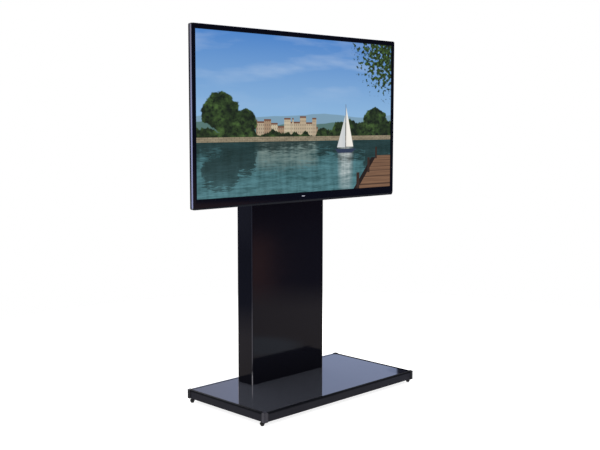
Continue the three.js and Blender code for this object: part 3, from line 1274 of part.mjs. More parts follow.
function powerInlet() {
  const back = -SHELL_TOTAL_DEPTH - SEAT_GAP;
  const wide = INLET_WIDTH + 2 * INLET_FLANGE;
  const tall = INLET_HEIGHT + 2 * INLET_FLANGE;
  const flange = roundedRectangle(wide, tall, INLET_RADIUS + INLET_FLANGE / 2);
  const body = union(
    prism(flange, back - INLET_FLANGE_THICKNESS, INLET_FLANGE_THICKNESS),
    prism(roundedRectangle(INLET_WIDTH, INLET_HEIGHT, INLET_RADIUS), back - SEAT_GAP, INLET_DEPTH),
  );
  const mouth = prism(
    slotShape(INLET_MOUTH_WIDTH, INLET_MOUTH_HEIGHT),
    back - INLET_FLANGE_THICKNESS - CUT_OVERRUN,
    INLET_MOUTH_DEPTH + CUT_OVERRUN,
  );
  return minus(body, mouth);
}

// Push button under the lower edge: a round cap, a collar that keeps it in, and a stem
function powerButton() {
  const collarLow = SHELL_WALL + SEAT_GAP;
  const collarHigh = collarLow + BUTTON_COLLAR;
  const button = turned(
    [
      [0, -BUTTON_PROUD],
      [BUTTON_RADIUS - BUTTON_EDGE, -BUTTON_PROUD],
      [BUTTON_RADIUS, BUTTON_EDGE - BUTTON_PROUD],
      [BUTTON_RADIUS, collarLow],
      [BUTTON_COLLAR_RADIUS, collarLow],
      [BUTTON_COLLAR_RADIUS, collarHigh],
      [BUTTON_STEM_RADIUS, collarHigh],
      [BUTTON_STEM_RADIUS, collarHigh + BUTTON_STEM],
      [0, collarHigh + BUTTON_STEM],
    ],
    PIN_SEGMENTS,
  );
  return reframe(button, X_AXIS.clone().negate(), Z_AXIS, Y_AXIS);
}

function addDisplay(group) {
  const display = new THREE.Group();
  display.position.set(0, DISPLAY_PLANE_Y, DISPLAY_CENTRE_Z);
  display.rotation.x = Math.PI / 2;
  group.add(display);
  piece(display, "display_bezel", bezel(), bezelBlack);
  const lcdShape = roundedRectangle(SCREEN_WIDTH + 2 * LCD_BORDER, SCREEN_HEIGHT + 2 * LCD_BORDER, SEAT_GAP);
  const lcdZ = -BEZEL_LIP - SEAT_GAP - LCD_THICKNESS;
  const lcd = prism(lcdShape, 0, LCD_THICKNESS);
  piece(display, "display_lcd_panel", lcd, screenFace, [0, SCREEN_OFFSET_Y, lcdZ]);
  const trayZ = -BEZEL_DEPTH - SEAT_GAP;
  piece(display, "display_backlight_tray", backlightTray(), zincSteel, [0, SCREEN_OFFSET_Y, trayZ]);
  piece(display, "display_rear_housing", rearHousing(), plasticBlack);
  const floorZ = -SHELL_TOTAL_DEPTH + TERMINAL_DEPTH - SEAT_GAP;
  piece(display, "display_terminal_panel", terminalPanel(), plasticBlack, [TERMINAL_X, TERMINAL_Y, floorZ]);
  piece(display, "display_power_inlet", powerInlet(), plasticBlack, [INLET_X, INLET_Y, 0]);
  const lampShape = roundedRectangle(LAMP_WIDTH, LAMP_HEIGHT, LAMP_RADIUS);
  const lamp = prism(lampShape, -LAMP_THICKNESS, LAMP_THICKNESS, SLOT_SEGMENTS);
  piece(display, "display_lamp_window", lamp, lampLens, [0, LAMP_Y, 0]);
  piece(display, "display_power_button", powerButton(), plasticBlack, [0, BUTTON_Y, BUTTON_Z]);
}

addBase(stand);
addColumn(stand);
addDoor(stand);
addMount(stand);
addDisplay(stand);

export default stand;
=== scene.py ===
"""Looks for a floor stand: a framed base, a gloss column, a hook-on mount and a flat display.

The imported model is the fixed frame. Each sub-assembly is a class that copies or rebuilds its
pieces at the places that the frame gives, dresses them in procedural finishes and lets them
ride on their bodies. All lengths are metres.
"""

import logging
import math
from dataclasses import dataclass, replace
from enum import Enum
from functools import reduce
from typing import Any, Mapping, Optional, Sequence, Union

import bmesh
import bpy
from mathutils import Matrix, Vector


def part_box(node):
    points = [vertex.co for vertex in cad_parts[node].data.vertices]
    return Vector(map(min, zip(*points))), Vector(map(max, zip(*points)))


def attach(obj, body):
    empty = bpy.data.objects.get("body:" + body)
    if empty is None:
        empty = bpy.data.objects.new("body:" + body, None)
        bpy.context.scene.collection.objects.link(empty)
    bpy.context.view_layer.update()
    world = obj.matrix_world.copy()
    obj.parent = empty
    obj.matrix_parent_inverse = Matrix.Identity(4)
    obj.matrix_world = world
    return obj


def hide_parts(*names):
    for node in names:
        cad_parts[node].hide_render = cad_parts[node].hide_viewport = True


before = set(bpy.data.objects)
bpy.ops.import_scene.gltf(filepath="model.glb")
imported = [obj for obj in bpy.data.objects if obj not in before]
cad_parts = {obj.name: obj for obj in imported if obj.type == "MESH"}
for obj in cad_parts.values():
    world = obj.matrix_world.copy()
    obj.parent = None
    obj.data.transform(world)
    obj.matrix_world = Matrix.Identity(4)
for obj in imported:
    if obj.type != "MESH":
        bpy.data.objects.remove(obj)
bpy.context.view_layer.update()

Color = tuple[float, float, float, float]
Point = tuple[float, float, float]
Spot = tuple[float, float]
Ring = tuple[float, float]
Named = Mapping[str, Any]
Sockets = dict[str, Any]
Piece = bpy.types.Object
Socket = bpy.types.NodeSocket

LOG = logging.getLogger("floor_stand")
MERGE_DISTANCE = 0.00001
SHARP_ANGLE = math.radians(33)
FLAT_ANGLE = math.radians(0.3)
DIAGONAL = 0.7071
SIDES = ("left", "right")
LEVELS = ("lower", "upper")
CORNERS = [(end, side) for end in ("front", "rear") for side in SIDES]
BLACK = (0.0, 0.0, 0.0, 1.0)
WHITE = (1.0, 1.0, 1.0, 1.0)
WARM = (1.0, 0.74, 0.62, 1.0)


class Body(Enum):
    """The bodies that pieces ride on."""

    STAND = "stand"
    DISPLAY = "display"
    BUTTON = "power_button"
    DOOR = "door"
    LOCK = "lock"


class Slot(Enum):
    """The record's material slots."""

    FRAME = "frame_black"
    RUBBER = "foot_rubber"
    ZINC = "zinc_steel"
    GLASS = "panel_glass"
    STEEL = "steel_black"
    PROFILE = "gloss_black_profile"
    PANEL = "gloss_black_panel"
    BEZEL = "bezel_black"
    SCREEN = "screen_face"
    HOUSING = "housing_black"
    LAMP = "lamp_lens"


class Facing(Enum):
    """Directions that small fasteners and sockets face."""

    UP = (0.0, 0.0, 1.0)
    BACK = (0.0, 1.0, 0.0)


def tone(red: int, green: int, blue: int) -> Color:
    """Turns display values from 0 to 255 into a linear colour.

    Args:
        red: red value.
        green: green value.
        blue: blue value.

    Returns:
        The linear colour with full opacity.
    """

    def linear(value: int) -> float:
        """Gives one channel's linear value."""
        share = value / 255
        return share / 12.92 if share <= 0.04045 else ((share + 0.055) / 1.055) ** 2.4

    return (linear(red), linear(green), linear(blue), 1.0)


class Signal:
    """A value socket that Python's operators combine through Math nodes."""

    def __init__(self, graph: "Graph", socket: Socket) -> None:
        """Keeps the socket and the graph that it belongs to."""
        self.graph = graph
        self.socket = socket

    def _math(self, operation: str, *values: Any, clamp: bool = False) -> "Signal":
        """Adds a Math node.

        Args:
            operation: the node's operation.
            values: signals or numbers for its inputs, in order.
            clamp: whether the result stays within 0 and 1.

        Returns:
            The node's result.
        """
        settings = {"operation": operation, "use_clamp": clamp}
        node = self.graph.node("ShaderNodeMath", settings, dict(enumerate(values)))
        return Signal(self.graph, node.outputs[0])

    def __add__(self, other: Any) -> "Signal":
        """Adds two values."""
        return self._math("ADD", self, other)

    def __sub__(self, other: Any) -> "Signal":
        """Subtracts a value."""
        return self._math("SUBTRACT", self, other)

    def __rsub__(self, other: Any) -> "Signal":
        """Subtracts this value from a number."""
        return self._math("SUBTRACT", other, self)

    def __mul__(self, other: Any) -> "Signal":
        """Multiplies two values."""
        return self._math("MULTIPLY", self, other)

    def __truediv__(self, other: Any) -> "Signal":
        """Divides by a value."""
        return self._math("DIVIDE", self, other)

    def __rtruediv__(self, other: Any) -> "Signal":
        """Divides a number by this value."""
        return self._math("DIVIDE", other, self)

    def above(self, edge: Any, blur: float) -> "Signal":
        """Masks where the value is above an edge, with a soft step as wide as the blur."""
        return self._math("MULTIPLY_ADD", self - edge, 1 / blur, 0.5, clamp=True)

    def below(self, edge: Any, blur: float) -> "Signal":
        """Masks where the value is below an edge, with a soft step as wide as the blur."""
        return self._math("MULTIPLY_ADD", self - edge, -1 / blur, 0.5, clamp=True)

    def within(self, low: Any, high: Any, blur: float) -> "Signal":
        """Masks where the value lies between two edges."""
        return self.above(low, blur) * self.below(high, blur)

    def size(self) -> "Signal":
        """Gives the value without its sign."""
        return self._math("ABSOLUTE", self)

    def whole(self) -> "Signal":
        """Gives the whole number below the value."""
        return self._math("FLOOR", self)

    def rest(self) -> "Signal":
        """Gives what is left above the whole number."""
        return self._math("FRACT", self)

    def off_middle(self) -> "Signal":
        """Gives how far the value is from halfway between two whole numbers."""
        return (self.rest() - 0.5).size()

    def root(self) -> "Signal":
        """Gives the square root."""
        return self._math("SQRT", self)

    def most(self, other: Any) -> "Signal":
        """Gives the greater of two values."""
        return self._math("MAXIMUM", self, other)


class Graph:
    """A node tree with one way to add a node and a few named patterns."""

    MIX_SHARE, MIX_FIRST, MIX_SECOND, MIX_RESULT = 0, 6, 7, 2

    def __init__(self, tree: bpy.types.NodeTree) -> None:
        """Keeps the tree."""
        self.tree = tree

    def node(
        self,
        kind: str,
        settings: Optional[Named] = None,
        inputs: Optional[Mapping[Union[str, int], Any]] = None,
    ) -> bpy.types.Node:
        """Adds a node, its settings first and then its sockets.

        Args:
            kind: the node's type.
            settings: properties by name; "stops" holds a ramp's places and colours.
            inputs: values, signals or sockets by input name or number.

        Returns:
            The node.
        """
        made = self.tree.nodes.new(kind)
        for name, value in (settings or {}).items():
            if name == "stops":
                self._set_stops(made.color_ramp, value)
            else:
                setattr(made, name, value)
        for key, value in (inputs or {}).items():
            self._feed(made.inputs[key], value)
        return made

    def _set_stops(self, ramp: bpy.types.ColorRamp, stops: Sequence[tuple[float, Color]]) -> None:
        """Sets a ramp's two stops.

        Args:
            ramp: the ramp.
            stops: place and colour of each.
        """
        for element, (place, color) in zip(ramp.elements, stops):
            element.position = place
            element.color = color

    def _feed(self, socket: Socket, value: Any) -> None:
        """Links an input or sets its value.

        Args:
            socket: the input.
            value: a signal or socket to link, or a plain value.
        """
        source = value.socket if isinstance(value, Signal) else value
        if isinstance(source, Socket):
            self.tree.links.new(source, socket)
        else:
            socket.default_value = source

    def place(self) -> Socket:
        """Gives the piece's own coordinates in metres."""
        return self.node("ShaderNodeTexCoord").outputs["Object"]

    def split(self, vector: Any) -> list[Signal]:
        """Splits a vector into its three values."""
        parts = self.node("ShaderNodeSeparateXYZ", {}, {"Vector": vector}).outputs
        return [Signal(self, part) for part in parts]

    def join(self, x: Any, y: Any, z: Any) -> Socket:
        """Joins three values into a vector."""
        return self.node("ShaderNodeCombineXYZ", {}, {0: x, 1: y, 2: z}).outputs[0]

    def stretch(self, vector: Any, scale: Point) -> Socket:
        """Scales a vector by a share for each axis."""
        return self.node("ShaderNodeMapping", {}, {"Vector": vector, "Scale": scale}).outputs[0]

    def noise(self, vector: Any, scale: float, detail: float = 2.0) -> Signal:
        """Gives cloudy noise about 0.5, of so many waves to a metre and octaves of detail."""
        inputs = {"Vector": vector, "Scale": scale, "Detail": detail}
        return Signal(self, self.node("ShaderNodeTexNoise", {}, inputs).outputs[0])

    def cells(self, vector: Any, scale: float) -> Signal:
        """Gives the distance to the nearest of scattered points."""
        inputs = {"Vector": vector, "Scale": scale}
        return Signal(self, self.node("ShaderNodeTexVoronoi", {}, inputs).outputs["Distance"])

    def chance(self, value: Signal) -> Signal:
        """Gives a fixed random number for each value."""
        made = self.node("ShaderNodeTexWhiteNoise", {"noise_dimensions": "1D"}, {"W": value})
        return Signal(self, made.outputs["Value"])

    def blend(self, share: Any, first: Any, second: Any) -> Socket:
        """Mixes two colours.

        Args:
            share: how much there is of the second one, from 0 to 1.
            first: the first colour.
            second: the second colour.

        Returns:
            The mixed colour's socket.
        """
        inputs = {self.MIX_SHARE: share, self.MIX_FIRST: first, self.MIX_SECOND: second}
        made = self.node("ShaderNodeMix", {"data_type": "RGBA"}, inputs)
        return made.outputs[self.MIX_RESULT]

    def bump(self, height: Signal, distance: float) -> Socket:
        """Gives a surface normal from a height in shares of a distance."""
        inputs = {"Height": height, "Distance": distance, "Strength": 1.0}
        return self.node("ShaderNodeBump", {}, inputs).outputs[0]

    def away(self, x: float, y: float) -> Signal:
        """Measures how far a place lies from an upright line.

        Args:
            x: the line's place across.
            y: the line's place along.

        Returns:
            The distance in metres.
        """
        place_x, place_y, _ = self.split(self.place())
        across = place_x - x
        along = place_y - y
        return (across * across + along * along).root()


@dataclass(frozen=True)
class Finish:
    """One finish: its name and the values that its shader needs."""

    name: str

    def sockets(self, graph: Graph) -> Sockets:
        """Gives the shader's inputs by name."""
        raise NotImplementedError

    def material(self) -> bpy.types.Material:
        """Makes the material once.

        Returns:
            The material that goes by this finish's name.
        """
        found = bpy.data.materials.get(self.name)
        if found is not None:
            return found
        made = bpy.data.materials.new(self.name)
        made.use_nodes = True
        made.node_tree.nodes.clear()
        graph = Graph(made.node_tree)
        shader = graph.node("ShaderNodeBsdfPrincipled", {}, self.sockets(graph))
        graph.node("ShaderNodeOutputMaterial", {}, {"Surface": shader.outputs[0]})
        return made


@dataclass(frozen=True, kw_only=True)
class CoatedFinish(Finish):
    """A sprayed, rubbed or moulded skin with a slow colour drift and a fine grain."""

    dark: Color
    light: Color
    roughness: float
    spread: float = 0.2
    drift: float
    grain: float
    depth: float
    specular: float = 0.3

    def sockets(self, graph: Graph) -> Sockets:
        """Gives the shader's inputs by name.

        Args:
            graph: the material's graph.

        Returns:
            The inputs by name.
        """
        place = graph.place()
        drift = graph.noise(place, self.drift, detail=3.0)
        grain = graph.noise(place, self.grain)
        return {
            "Base Color": graph.blend(drift, self.dark, self.light),
            "Roughness": (grain - 0.5) * self.spread + self.roughness,
            "Specular IOR Level": self.specular,
            "Normal": graph.bump(grain, self.depth),
        }


@dataclass(frozen=True, kw_only=True)
class LipShadedFinish(CoatedFinish):
    """A coated skin whose upper lip is darkened as painted shade, and perhaps given a clear coat
    there.
    """

    # painted_lip_shade is the colour of the painted shade along the upper lip
    painted_lip_shade: Color
    lip_z: float
    lip_blur: float
    lip_gloss: float = 0.0

    def sockets(self, graph: Graph) -> Sockets:
        """Gives the shader's inputs by name.

        Args:
            graph: the material's graph.

        Returns:
            The inputs by name.
        """
        sockets = super().sockets(graph)
        _, _, z = graph.split(graph.place())
        upper = z.above(self.lip_z, self.lip_blur)
        # painted shade: the base colour turns dark above lip_z
        sockets["Base Color"] = graph.blend(upper, sockets["Base Color"], self.painted_lip_shade)
        if self.lip_gloss:
            sockets["Coat Weight"] = upper * self.lip_gloss
        return sockets


@dataclass(frozen=True, kw_only=True)
class GlossFinish(Finish):
    """High gloss with a slight orange peel, faint smudges and a few dust marks."""

    deep: Color
    dusty: Color
    roughness: float
    smudge: float
    peel: float
    peel_height: float
    specular: float
    tint: Color = WHITE
    wipe: float = 1.6
    wipe_stretch: Point = (3.0, 3.0, 9.0)
    dust: float = 90.0
    dust_size: float = 0.07
    dust_blur: float = 0.05
    dust_share: float = 0.5

    def sockets(self, graph: Graph) -> Sockets:
        """Gives the shader's inputs by name.

        Args:
            graph: the material's graph.

        Returns:
            The inputs by name.
        """
        place = graph.place()
        peel = graph.noise(place, self.peel, detail=1.0)
        wipe = graph.noise(graph.stretch(place, self.wipe_stretch), self.wipe, detail=4.0)
        dust = graph.cells(place, self.dust).below(self.dust_size, self.dust_blur)
        dust = dust * wipe.above(0.55, 0.2)
        return {
            "Base Color": graph.blend(dust * self.dust_share, self.deep, self.dusty),
            "Roughness": wipe.above(0.5, 0.5) * self.smudge + self.roughness,
            "Specular IOR Level": self.specular,
            "Specular Tint": self.tint,
            "Normal": graph.bump(peel, self.peel_height),
        }


@dataclass(frozen=True, kw_only=True)
class TrimmedFinish(GlossFinish):
    """High gloss with a metallic strip where the piece is farthest out, brightened towards its foot
    as a painted highlight.
    """

    metal: Color
    foot_highlight: Color
    foot_z: float
    foot_blur: float
    share: float
    edge_x: float
    edge_y: Optional[float] = None
    middle_y: float = 0.0
    reach: float
    blur: float

    def sockets(self, graph: Graph) -> Sockets:
        """Gives the shader's inputs by name.

        Args:
            graph: the material's graph.

        Returns:
            The inputs by name.
        """
        sockets = super().sockets(graph)
        x, y, z = graph.split(graph.place())
        inward = self.edge_x - x.size()
        if self.edge_y is not None:
            inward = inward.most(self.edge_y - (y - self.middle_y).size())
        trim = inward.below(self.reach, self.blur)
        # painted highlight: below foot_z the strip's metal colour brightens to foot_highlight
        metal = graph.blend(z.below(self.foot_z, self.foot_blur), self.metal, self.foot_highlight)
        sockets["Base Color"] = graph.blend(trim, sockets["Base Color"], metal)
        sockets["Metallic"] = trim * self.share
        return sockets


@dataclass(frozen=True, kw_only=True)
class CornerShadedGlassFinish(GlossFinish):
    """Black glass under a lighter film colour that stops short of one front corner, left darker
    there as painted shade.
    """

    film: Color
    shaded_corner: Spot
    shaded_corner_radius: float
    shaded_corner_blur: float

    def sockets(self, graph: Graph) -> Sockets:
        """Gives the shader's inputs by name.

        Args:
            graph: the material's graph.

        Returns:
            The inputs by name.
        """
        sockets = super().sockets(graph)
        # painted shade: the lighter film colour is left off around shaded_corner, which keeps the
        # dark glass colour
        dusty = graph.away(*self.shaded_corner).above(self.shaded_corner_radius, self.shaded_corner_blur)
        sockets["Base Color"] = graph.blend(dusty, sockets["Base Color"], self.film)
        return sockets


@dataclass(frozen=True, kw_only=True)
class PlatedFinish(Finish):
    """Zinc plate: bright metal with patches of warmer and cooler grey."""

    cool: Color
    warm: Color
    roughness: float
    spread: float = 0.2
    spangle: float
    patch: float = 60.0
    depth: float = 0.00002

    def sockets(self, graph: Graph) -> Sockets:
        """Gives the shader's inputs by name.

        Args:
            graph: the material's graph.

        Returns:
            The inputs by name.
        """
        place = graph.place()
        patch = graph.noise(place, self.patch, detail=3.0)
        spangle = graph.cells(place, self.spangle)
        stops = [(0.3, self.cool), (0.7, self.warm)]
        ramp = graph.node("ShaderNodeValToRGB", {"stops": stops}, {"Fac": patch})
        return {
            "Base Color": ramp.outputs["Color"],
            "Metallic": 1.0,
            "Roughness": spangle * self.spread + self.roughness,
            "Normal": graph.bump(spangle, self.depth),
        }


@dataclass(frozen=True, kw_only=True)
class LensFinish(Finish):
    """A milky window in front of a dim standby lamp at the piece's middle."""

    milk: Color
    glow: Color
    strength: float
    spot_reach: float
    spot_blur: float
    roughness: float
    spread: float
    haze: float

    def sockets(self, graph: Graph) -> Sockets:
        """Gives the shader's inputs by name.

        Args:
            graph: the material's graph.

        Returns:
            The inputs by name.
        """
        place = graph.place()
        x, _, _ = graph.split(place)
        spot = x.size().below(self.spot_reach, self.spot_blur)
        haze = graph.noise(place, self.haze)
        return {
            "Base Color": graph.blend(haze, self.milk, self.glow),
            "Roughness": haze * self.spread + self.roughness,
            "Emission Color": graph.blend(spot, BLACK, self.glow),
            "Emission Strength": self.strength,
        }


class WatersidePicture:
    """A made-up waterside view, painted with masks; places in it are shares of its size."""

    EDGE_U = 0.001
    EDGE_V = 0.002
    BANK = 0.336
    QUAY_TOP = 0.366
    TOWN = (0.268, 0.578)
    TOWN_SHORE = (0.27, 0.575)
    CROWNS = ((0.105, 0.52, 0.085, 0.12), (0.212, 0.455, 0.06, 0.085), (0.905, 0.475, 0.07, 0.09))
    TRUNK = 0.004
    KEEL_V, SHEER_V = 0.250, 0.278
    KEEL_U, SHEER_U = (0.690, 0.768), (0.672, 0.792)
    MAIN_HEAD, MAIN_CLEW = (0.735, 0.560), (0.776, 0.292)
    JIB_TACK, JIB_HEAD = (0.684, 0.288), (0.7305, 0.510)
    MAST = (0.7318, 0.7340, 0.27, 0.58)
    JETTY_NEAR, JETTY_FAR = (0.79, -0.03), (0.915, 0.225)
    VANISHING_V = 0.36
    POSTS = (0.98, 0.62, 0.12)

    def __init__(self, graph: Graph, face: "ScreenFinish") -> None:
        """Sets up shares of the picture's width and height.

        Args:
            graph: the material's graph.
            face: the finish that says where the picture's edges are.
        """
        self.graph = graph
        self.mix = graph.blend
        x, _, z = graph.split(graph.place())
        self.u = (x - face.left) / face.width
        self.v = (z - face.bottom) / face.height
        self.scene: Any = BLACK

    def _cover(self, mask: Signal, color: Any) -> None:
        """Paints a colour over the picture so far, where a mask is."""
        self.scene = self.mix(mask, self.scene, color)

    def _box(self, left: float, right: float, low: float, high: float) -> Signal:
        """Gives the mask of an upright rectangle."""
        return self.u.within(left, right, self.EDGE_U) * self.v.within(low, high, self.EDGE_V * 0.9)

    def _wave(self, across: float, upward: float, seed: float, detail: float = 3.0) -> Signal:
        """Gives noise with its own number of waves across and up the picture."""
        place = self.graph.join(self.u * across, self.v * upward, seed)
        return self.graph.noise(place, 1.0, detail=detail)

    def _line(self, start: Spot, end: Spot) -> Signal:
        """Gives how far a point is above the line through two points."""
        slope = (end[1] - start[1]) / (end[0] - start[0])
        return self.v - ((self.u - start[0]) * slope + start[1])

    def _sky(self) -> None:
        """Paints a sky that pales towards the land, with thin high cloud."""
        self.scene = tone(146, 187, 222)
        self._cover(self.v.above(0.72, 0.62), tone(71, 128, 198))
        cloud = self._wave(2.6, 8.0, seed=2.3, detail=6.0).above(0.6, 0.24)
        cloud = cloud * self.v.above(0.66, 0.3)
        self._cover(cloud * 0.34, tone(206, 221, 236))

    def _hills(self) -> None:
        """Paints two hazy ridges."""
        far = self._wave(2.1, 0.0, seed=5.1) * 0.16 + 0.42
        near = self._wave(3.7, 0.0, seed=8.4) * 0.12 + 0.385
        self._cover(self.v.below(far, 0.004), tone(122, 156, 178))
        self._cover(self.v.below(near, 0.004), tone(84, 116, 112))

    def _town(self) -> None:
        """Paints a row of plain houses with small windows."""
        chance = self.graph.chance
        house = (self.u * 31.0 + chance((self.u * 9.0).whole()) * 0.6).whole()
        top = chance(house) * 0.075 + 0.425
        wall = self.mix(chance(house + 7.0), tone(196, 184, 158), tone(150, 122, 98))
        panes = (self.u * 104.0).off_middle().below(0.22, 0.1)
        panes = panes * (self.v * 42.0).off_middle().below(0.25, 0.1)
        panes = panes * self.v.below(top - 0.012, self.EDGE_V)
        walls = self.mix(panes * 0.5, wall, tone(70, 68, 66))
        roofed = self.mix(self.v.above(top - 0.011, self.EDGE_V), walls, tone(112, 78, 62))
        across = self.u.within(*self.TOWN, self.EDGE_U)
        self._cover(across * self.v.below(top, self.EDGE_V), roofed)

    def _tree_line(self) -> Signal:
        """Works out the trees' height along the far bank, lower before the houses.

        Returns:
            The height as a share of the picture's.
        """
        fringe = self._wave(24.0, 0.0, seed=1.7, detail=5.0) * 0.15 + 0.325
        clumps = self._wave(6.0, 0.0, seed=3.9, detail=2.0).above(0.5, 0.2) * 0.07
        middle = self.u.within(*self.TOWN_SHORE, 0.03)
        return fringe + clumps * (1 - middle) - middle * 0.015

    def _crowns(self, height: Signal) -> Signal:
        """Masks the tall trees' crowns at a height.

        Args:
            height: share of the picture's height to test.

        Returns:
            A signal from 0 to 1.
        """
        ragged = (self._wave(26.0, 18.0, seed=6.2, detail=5.0) - 0.5) * 1.4
        masks: list[Signal] = []
        for u, v, half_u, half_v in self.CROWNS:
            across = (self.u - u) / half_u
            upward = (height - v) / half_v
            masks.append((across * across + upward * upward + ragged).below(0.95, 0.12))
        return reduce(Signal.most, masks)

    def _trees(self) -> None:
        """Paints clumps of round-headed trees along the far bank."""
        mask = self.v.below(self._tree_line(), 0.006).most(self._crowns(self.v))
        for u, v, _, _ in self.CROWNS:
            mask = mask.most(self._box(u - self.TRUNK, u + self.TRUNK, self.BANK, v))
        leaf = self._wave(60.0, 42.0, seed=4.4, detail=4.0).above(0.5, 0.3)
        clump = self._wave(17.0, 13.0, seed=8.8).above(0.53, 0.22)
        green = self.mix(leaf * (clump * 0.75 + 0.25), tone(13, 29, 18), tone(70, 98, 50))
        self._cover(mask, green)

    def _quay(self) -> None:
        """Paints a stone edge with courses of blocks."""
        course = self.v * 90.0
        ends = (self.u * 42.0 + course.whole() * 0.5).off_middle().above(0.46, 0.04)
        beds = course.off_middle().above(0.42, 0.08)
        grain = self._wave(30.0, 40.0, seed=9.1, detail=4.0)
        stone = self.mix(grain, tone(92, 84, 68), tone(176, 163, 136))
        blocks = self.mix(ends.most(beds) * 0.6, stone, tone(62, 60, 52))
        self._cover(self._box(-0.01, 1.01, self.BANK, self.QUAY_TOP), blocks)

    def _water(self) -> None:
        """Paints rippled water that mirrors the houses, the trees and the sails."""
        broad = self._wave(9.0, 46.0, seed=7.7, detail=5.0)
        fine = self._wave(40.0, 210.0, seed=5.3)
        streak = self._wave(38.0, 3.5, seed=2.9, detail=4.0)
        ripple = (broad * 0.4 + fine * 0.3 + streak * 0.3).above(0.5, 0.26)
        near = self.v.below(0.12, 0.3) * 0.3
        water = self.mix((ripple + near) * 0.8, tone(22, 64, 66), tone(88, 136, 144))
        mirrored = self.BANK * 2 - self.v + (fine - 0.5) * 0.16 + (broad - 0.5) * 0.12
        houses = self.u.within(*self.TOWN_SHORE, 0.03) * mirrored.below(0.5, 0.06)
        water = self.mix(houses * ripple * 0.4, water, tone(160, 156, 134))
        trees = mirrored.below(self._tree_line(), 0.06).most(self._crowns(mirrored))
        water = self.mix(trees * self.v.above(0.0, 0.36) * 0.8, water, tone(15, 38, 35))
        sails = self.u.within(0.7, 0.765, 0.03) * self.v.above(0.03, 0.2)
        water = self.mix(sails * ripple * 0.8, water, tone(206, 212, 210))
        self._cover(self.v.below(self.BANK, self.EDGE_V), water)

    def _boat(self) -> None:
        """Paints a small sailing boat with two plain sails."""
        jib = self._line(self.JIB_TACK, self.JIB_HEAD).below(0.0, self.EDGE_V)
        jib = jib * self.u.below(self.JIB_HEAD[0], self.EDGE_U)
        main = self._line(self.MAIN_HEAD, self.MAIN_CLEW).below(0.0, self.EDGE_V)
        main = main * self.u.above(self.MAIN_HEAD[0], self.EDGE_U)
        hull = self.v.within(self.KEEL_V, self.SHEER_V, self.EDGE_V)
        for keel_u, sheer_u in zip(self.KEEL_U, self.SHEER_U):
            side = self._line((keel_u, self.KEEL_V), (sheer_u, self.SHEER_V))
            hull = hull * side.above(0.0, self.EDGE_V)
        fold = self._wave(30.0, 2.0, seed=13.0, detail=1.0)
        shaded = self.mix(fold, tone(182, 190, 196), tone(226, 226, 222))
        sunlit = self.mix(fold, tone(214, 212, 206), tone(250, 246, 236))
        self._cover(jib * self.v.above(self.JIB_TACK[1], self.EDGE_V), shaded)
        self._cover(main * self.v.above(self.MAIN_CLEW[1], self.EDGE_V), sunlit)
        self._cover(self._box(*self.MAST), tone(92, 74, 58))
        self._cover(hull, tone(44, 58, 82))

    def _jetty(self) -> None:
        """Paints a timber jetty that runs away from the lower right corner."""
        near_u, near_v = self.JETTY_NEAR
        far_u, far_v = self.JETTY_FAR
        edge = self._line(self.JETTY_NEAR, self.JETTY_FAR)
        joint = (1.7 / (self.VANISHING_V - self.v)).rest().below(0.14, 0.1)
        grain = self._wave(6.0, 90.0, seed=14.0)
        wood = self.mix(grain, tone(84, 60, 46), tone(146, 112, 86))
        deck = self.mix(joint * 0.7, wood, tone(34, 26, 22))
        side = (edge - 0.05).below(0.0, 0.003) * self.v.below(far_v - 0.012, self.EDGE_V)
        self._cover(side, tone(30, 24, 20))
        self._cover(edge.below(0.0, 0.003) * self.v.below(far_v, self.EDGE_V), deck)
        for share in self.POSTS:
            u = near_u + (far_u - near_u) * share
            v = near_v + (far_v - near_v) * share
            half = 0.009 - 0.004 * share
            post = self._box(u - half, u + half, v - half * 3, v + half * 13)
            self._cover(post, tone(52, 38, 31))

    def _branch(self) -> None:
        """Paints leaves that hang in from the upper right corner."""
        across = (self.u - 1.0) / 0.24
        upward = (self.v - 1.0) / 0.4
        spread = across * across + upward * upward
        leaves = self._wave(58.0, 40.0, seed=11.0, detail=5.0).above(spread * 0.24 + 0.385, 0.05)
        shade = self._wave(90.0, 70.0, seed=12.0, detail=2.0).above(0.52, 0.25)
        green = self.mix(shade, tone(16, 30, 18), tone(64, 92, 42))
        self._cover(leaves * spread.below(1.0, 0.25), green)

    def color(self) -> Socket:
        """Paints the picture from back to front.

        Returns:
            The finished picture's colour socket.
        """
        behind = (self._sky, self._hills, self._town, self._trees)
        before = (self._quay, self._water, self._boat, self._jetty, self._branch)
        for paint in behind + before:
            paint()
        return self.scene


@dataclass(frozen=True, kw_only=True)
class ScreenFinish(Finish):
    """The lit display face under a low-glare film."""

    left: float
    bottom: float
    width: float
    height: float
    dark: Color
    roughness: float
    spread: float
    film: float
    specular: float

    def sockets(self, graph: Graph) -> Sockets:
        """Gives the shader's inputs by name.

        Args:
            graph: the material's graph.

        Returns:
            The inputs by name.
        """
        picture = WatersidePicture(graph, self)
        inside = picture.u.within(0.0, 1.0, 0.0005) * picture.v.within(0.0, 1.0, 0.001)
        film = graph.noise(graph.place(), self.film, detail=1.0)
        return {
            "Base Color": self.dark,
            "Roughness": film * self.spread + self.roughness,
            "Specular IOR Level": self.specular,
            "Emission Color": graph.blend(inside, BLACK, picture.color()),
            "Emission Strength": 1.0,
        }


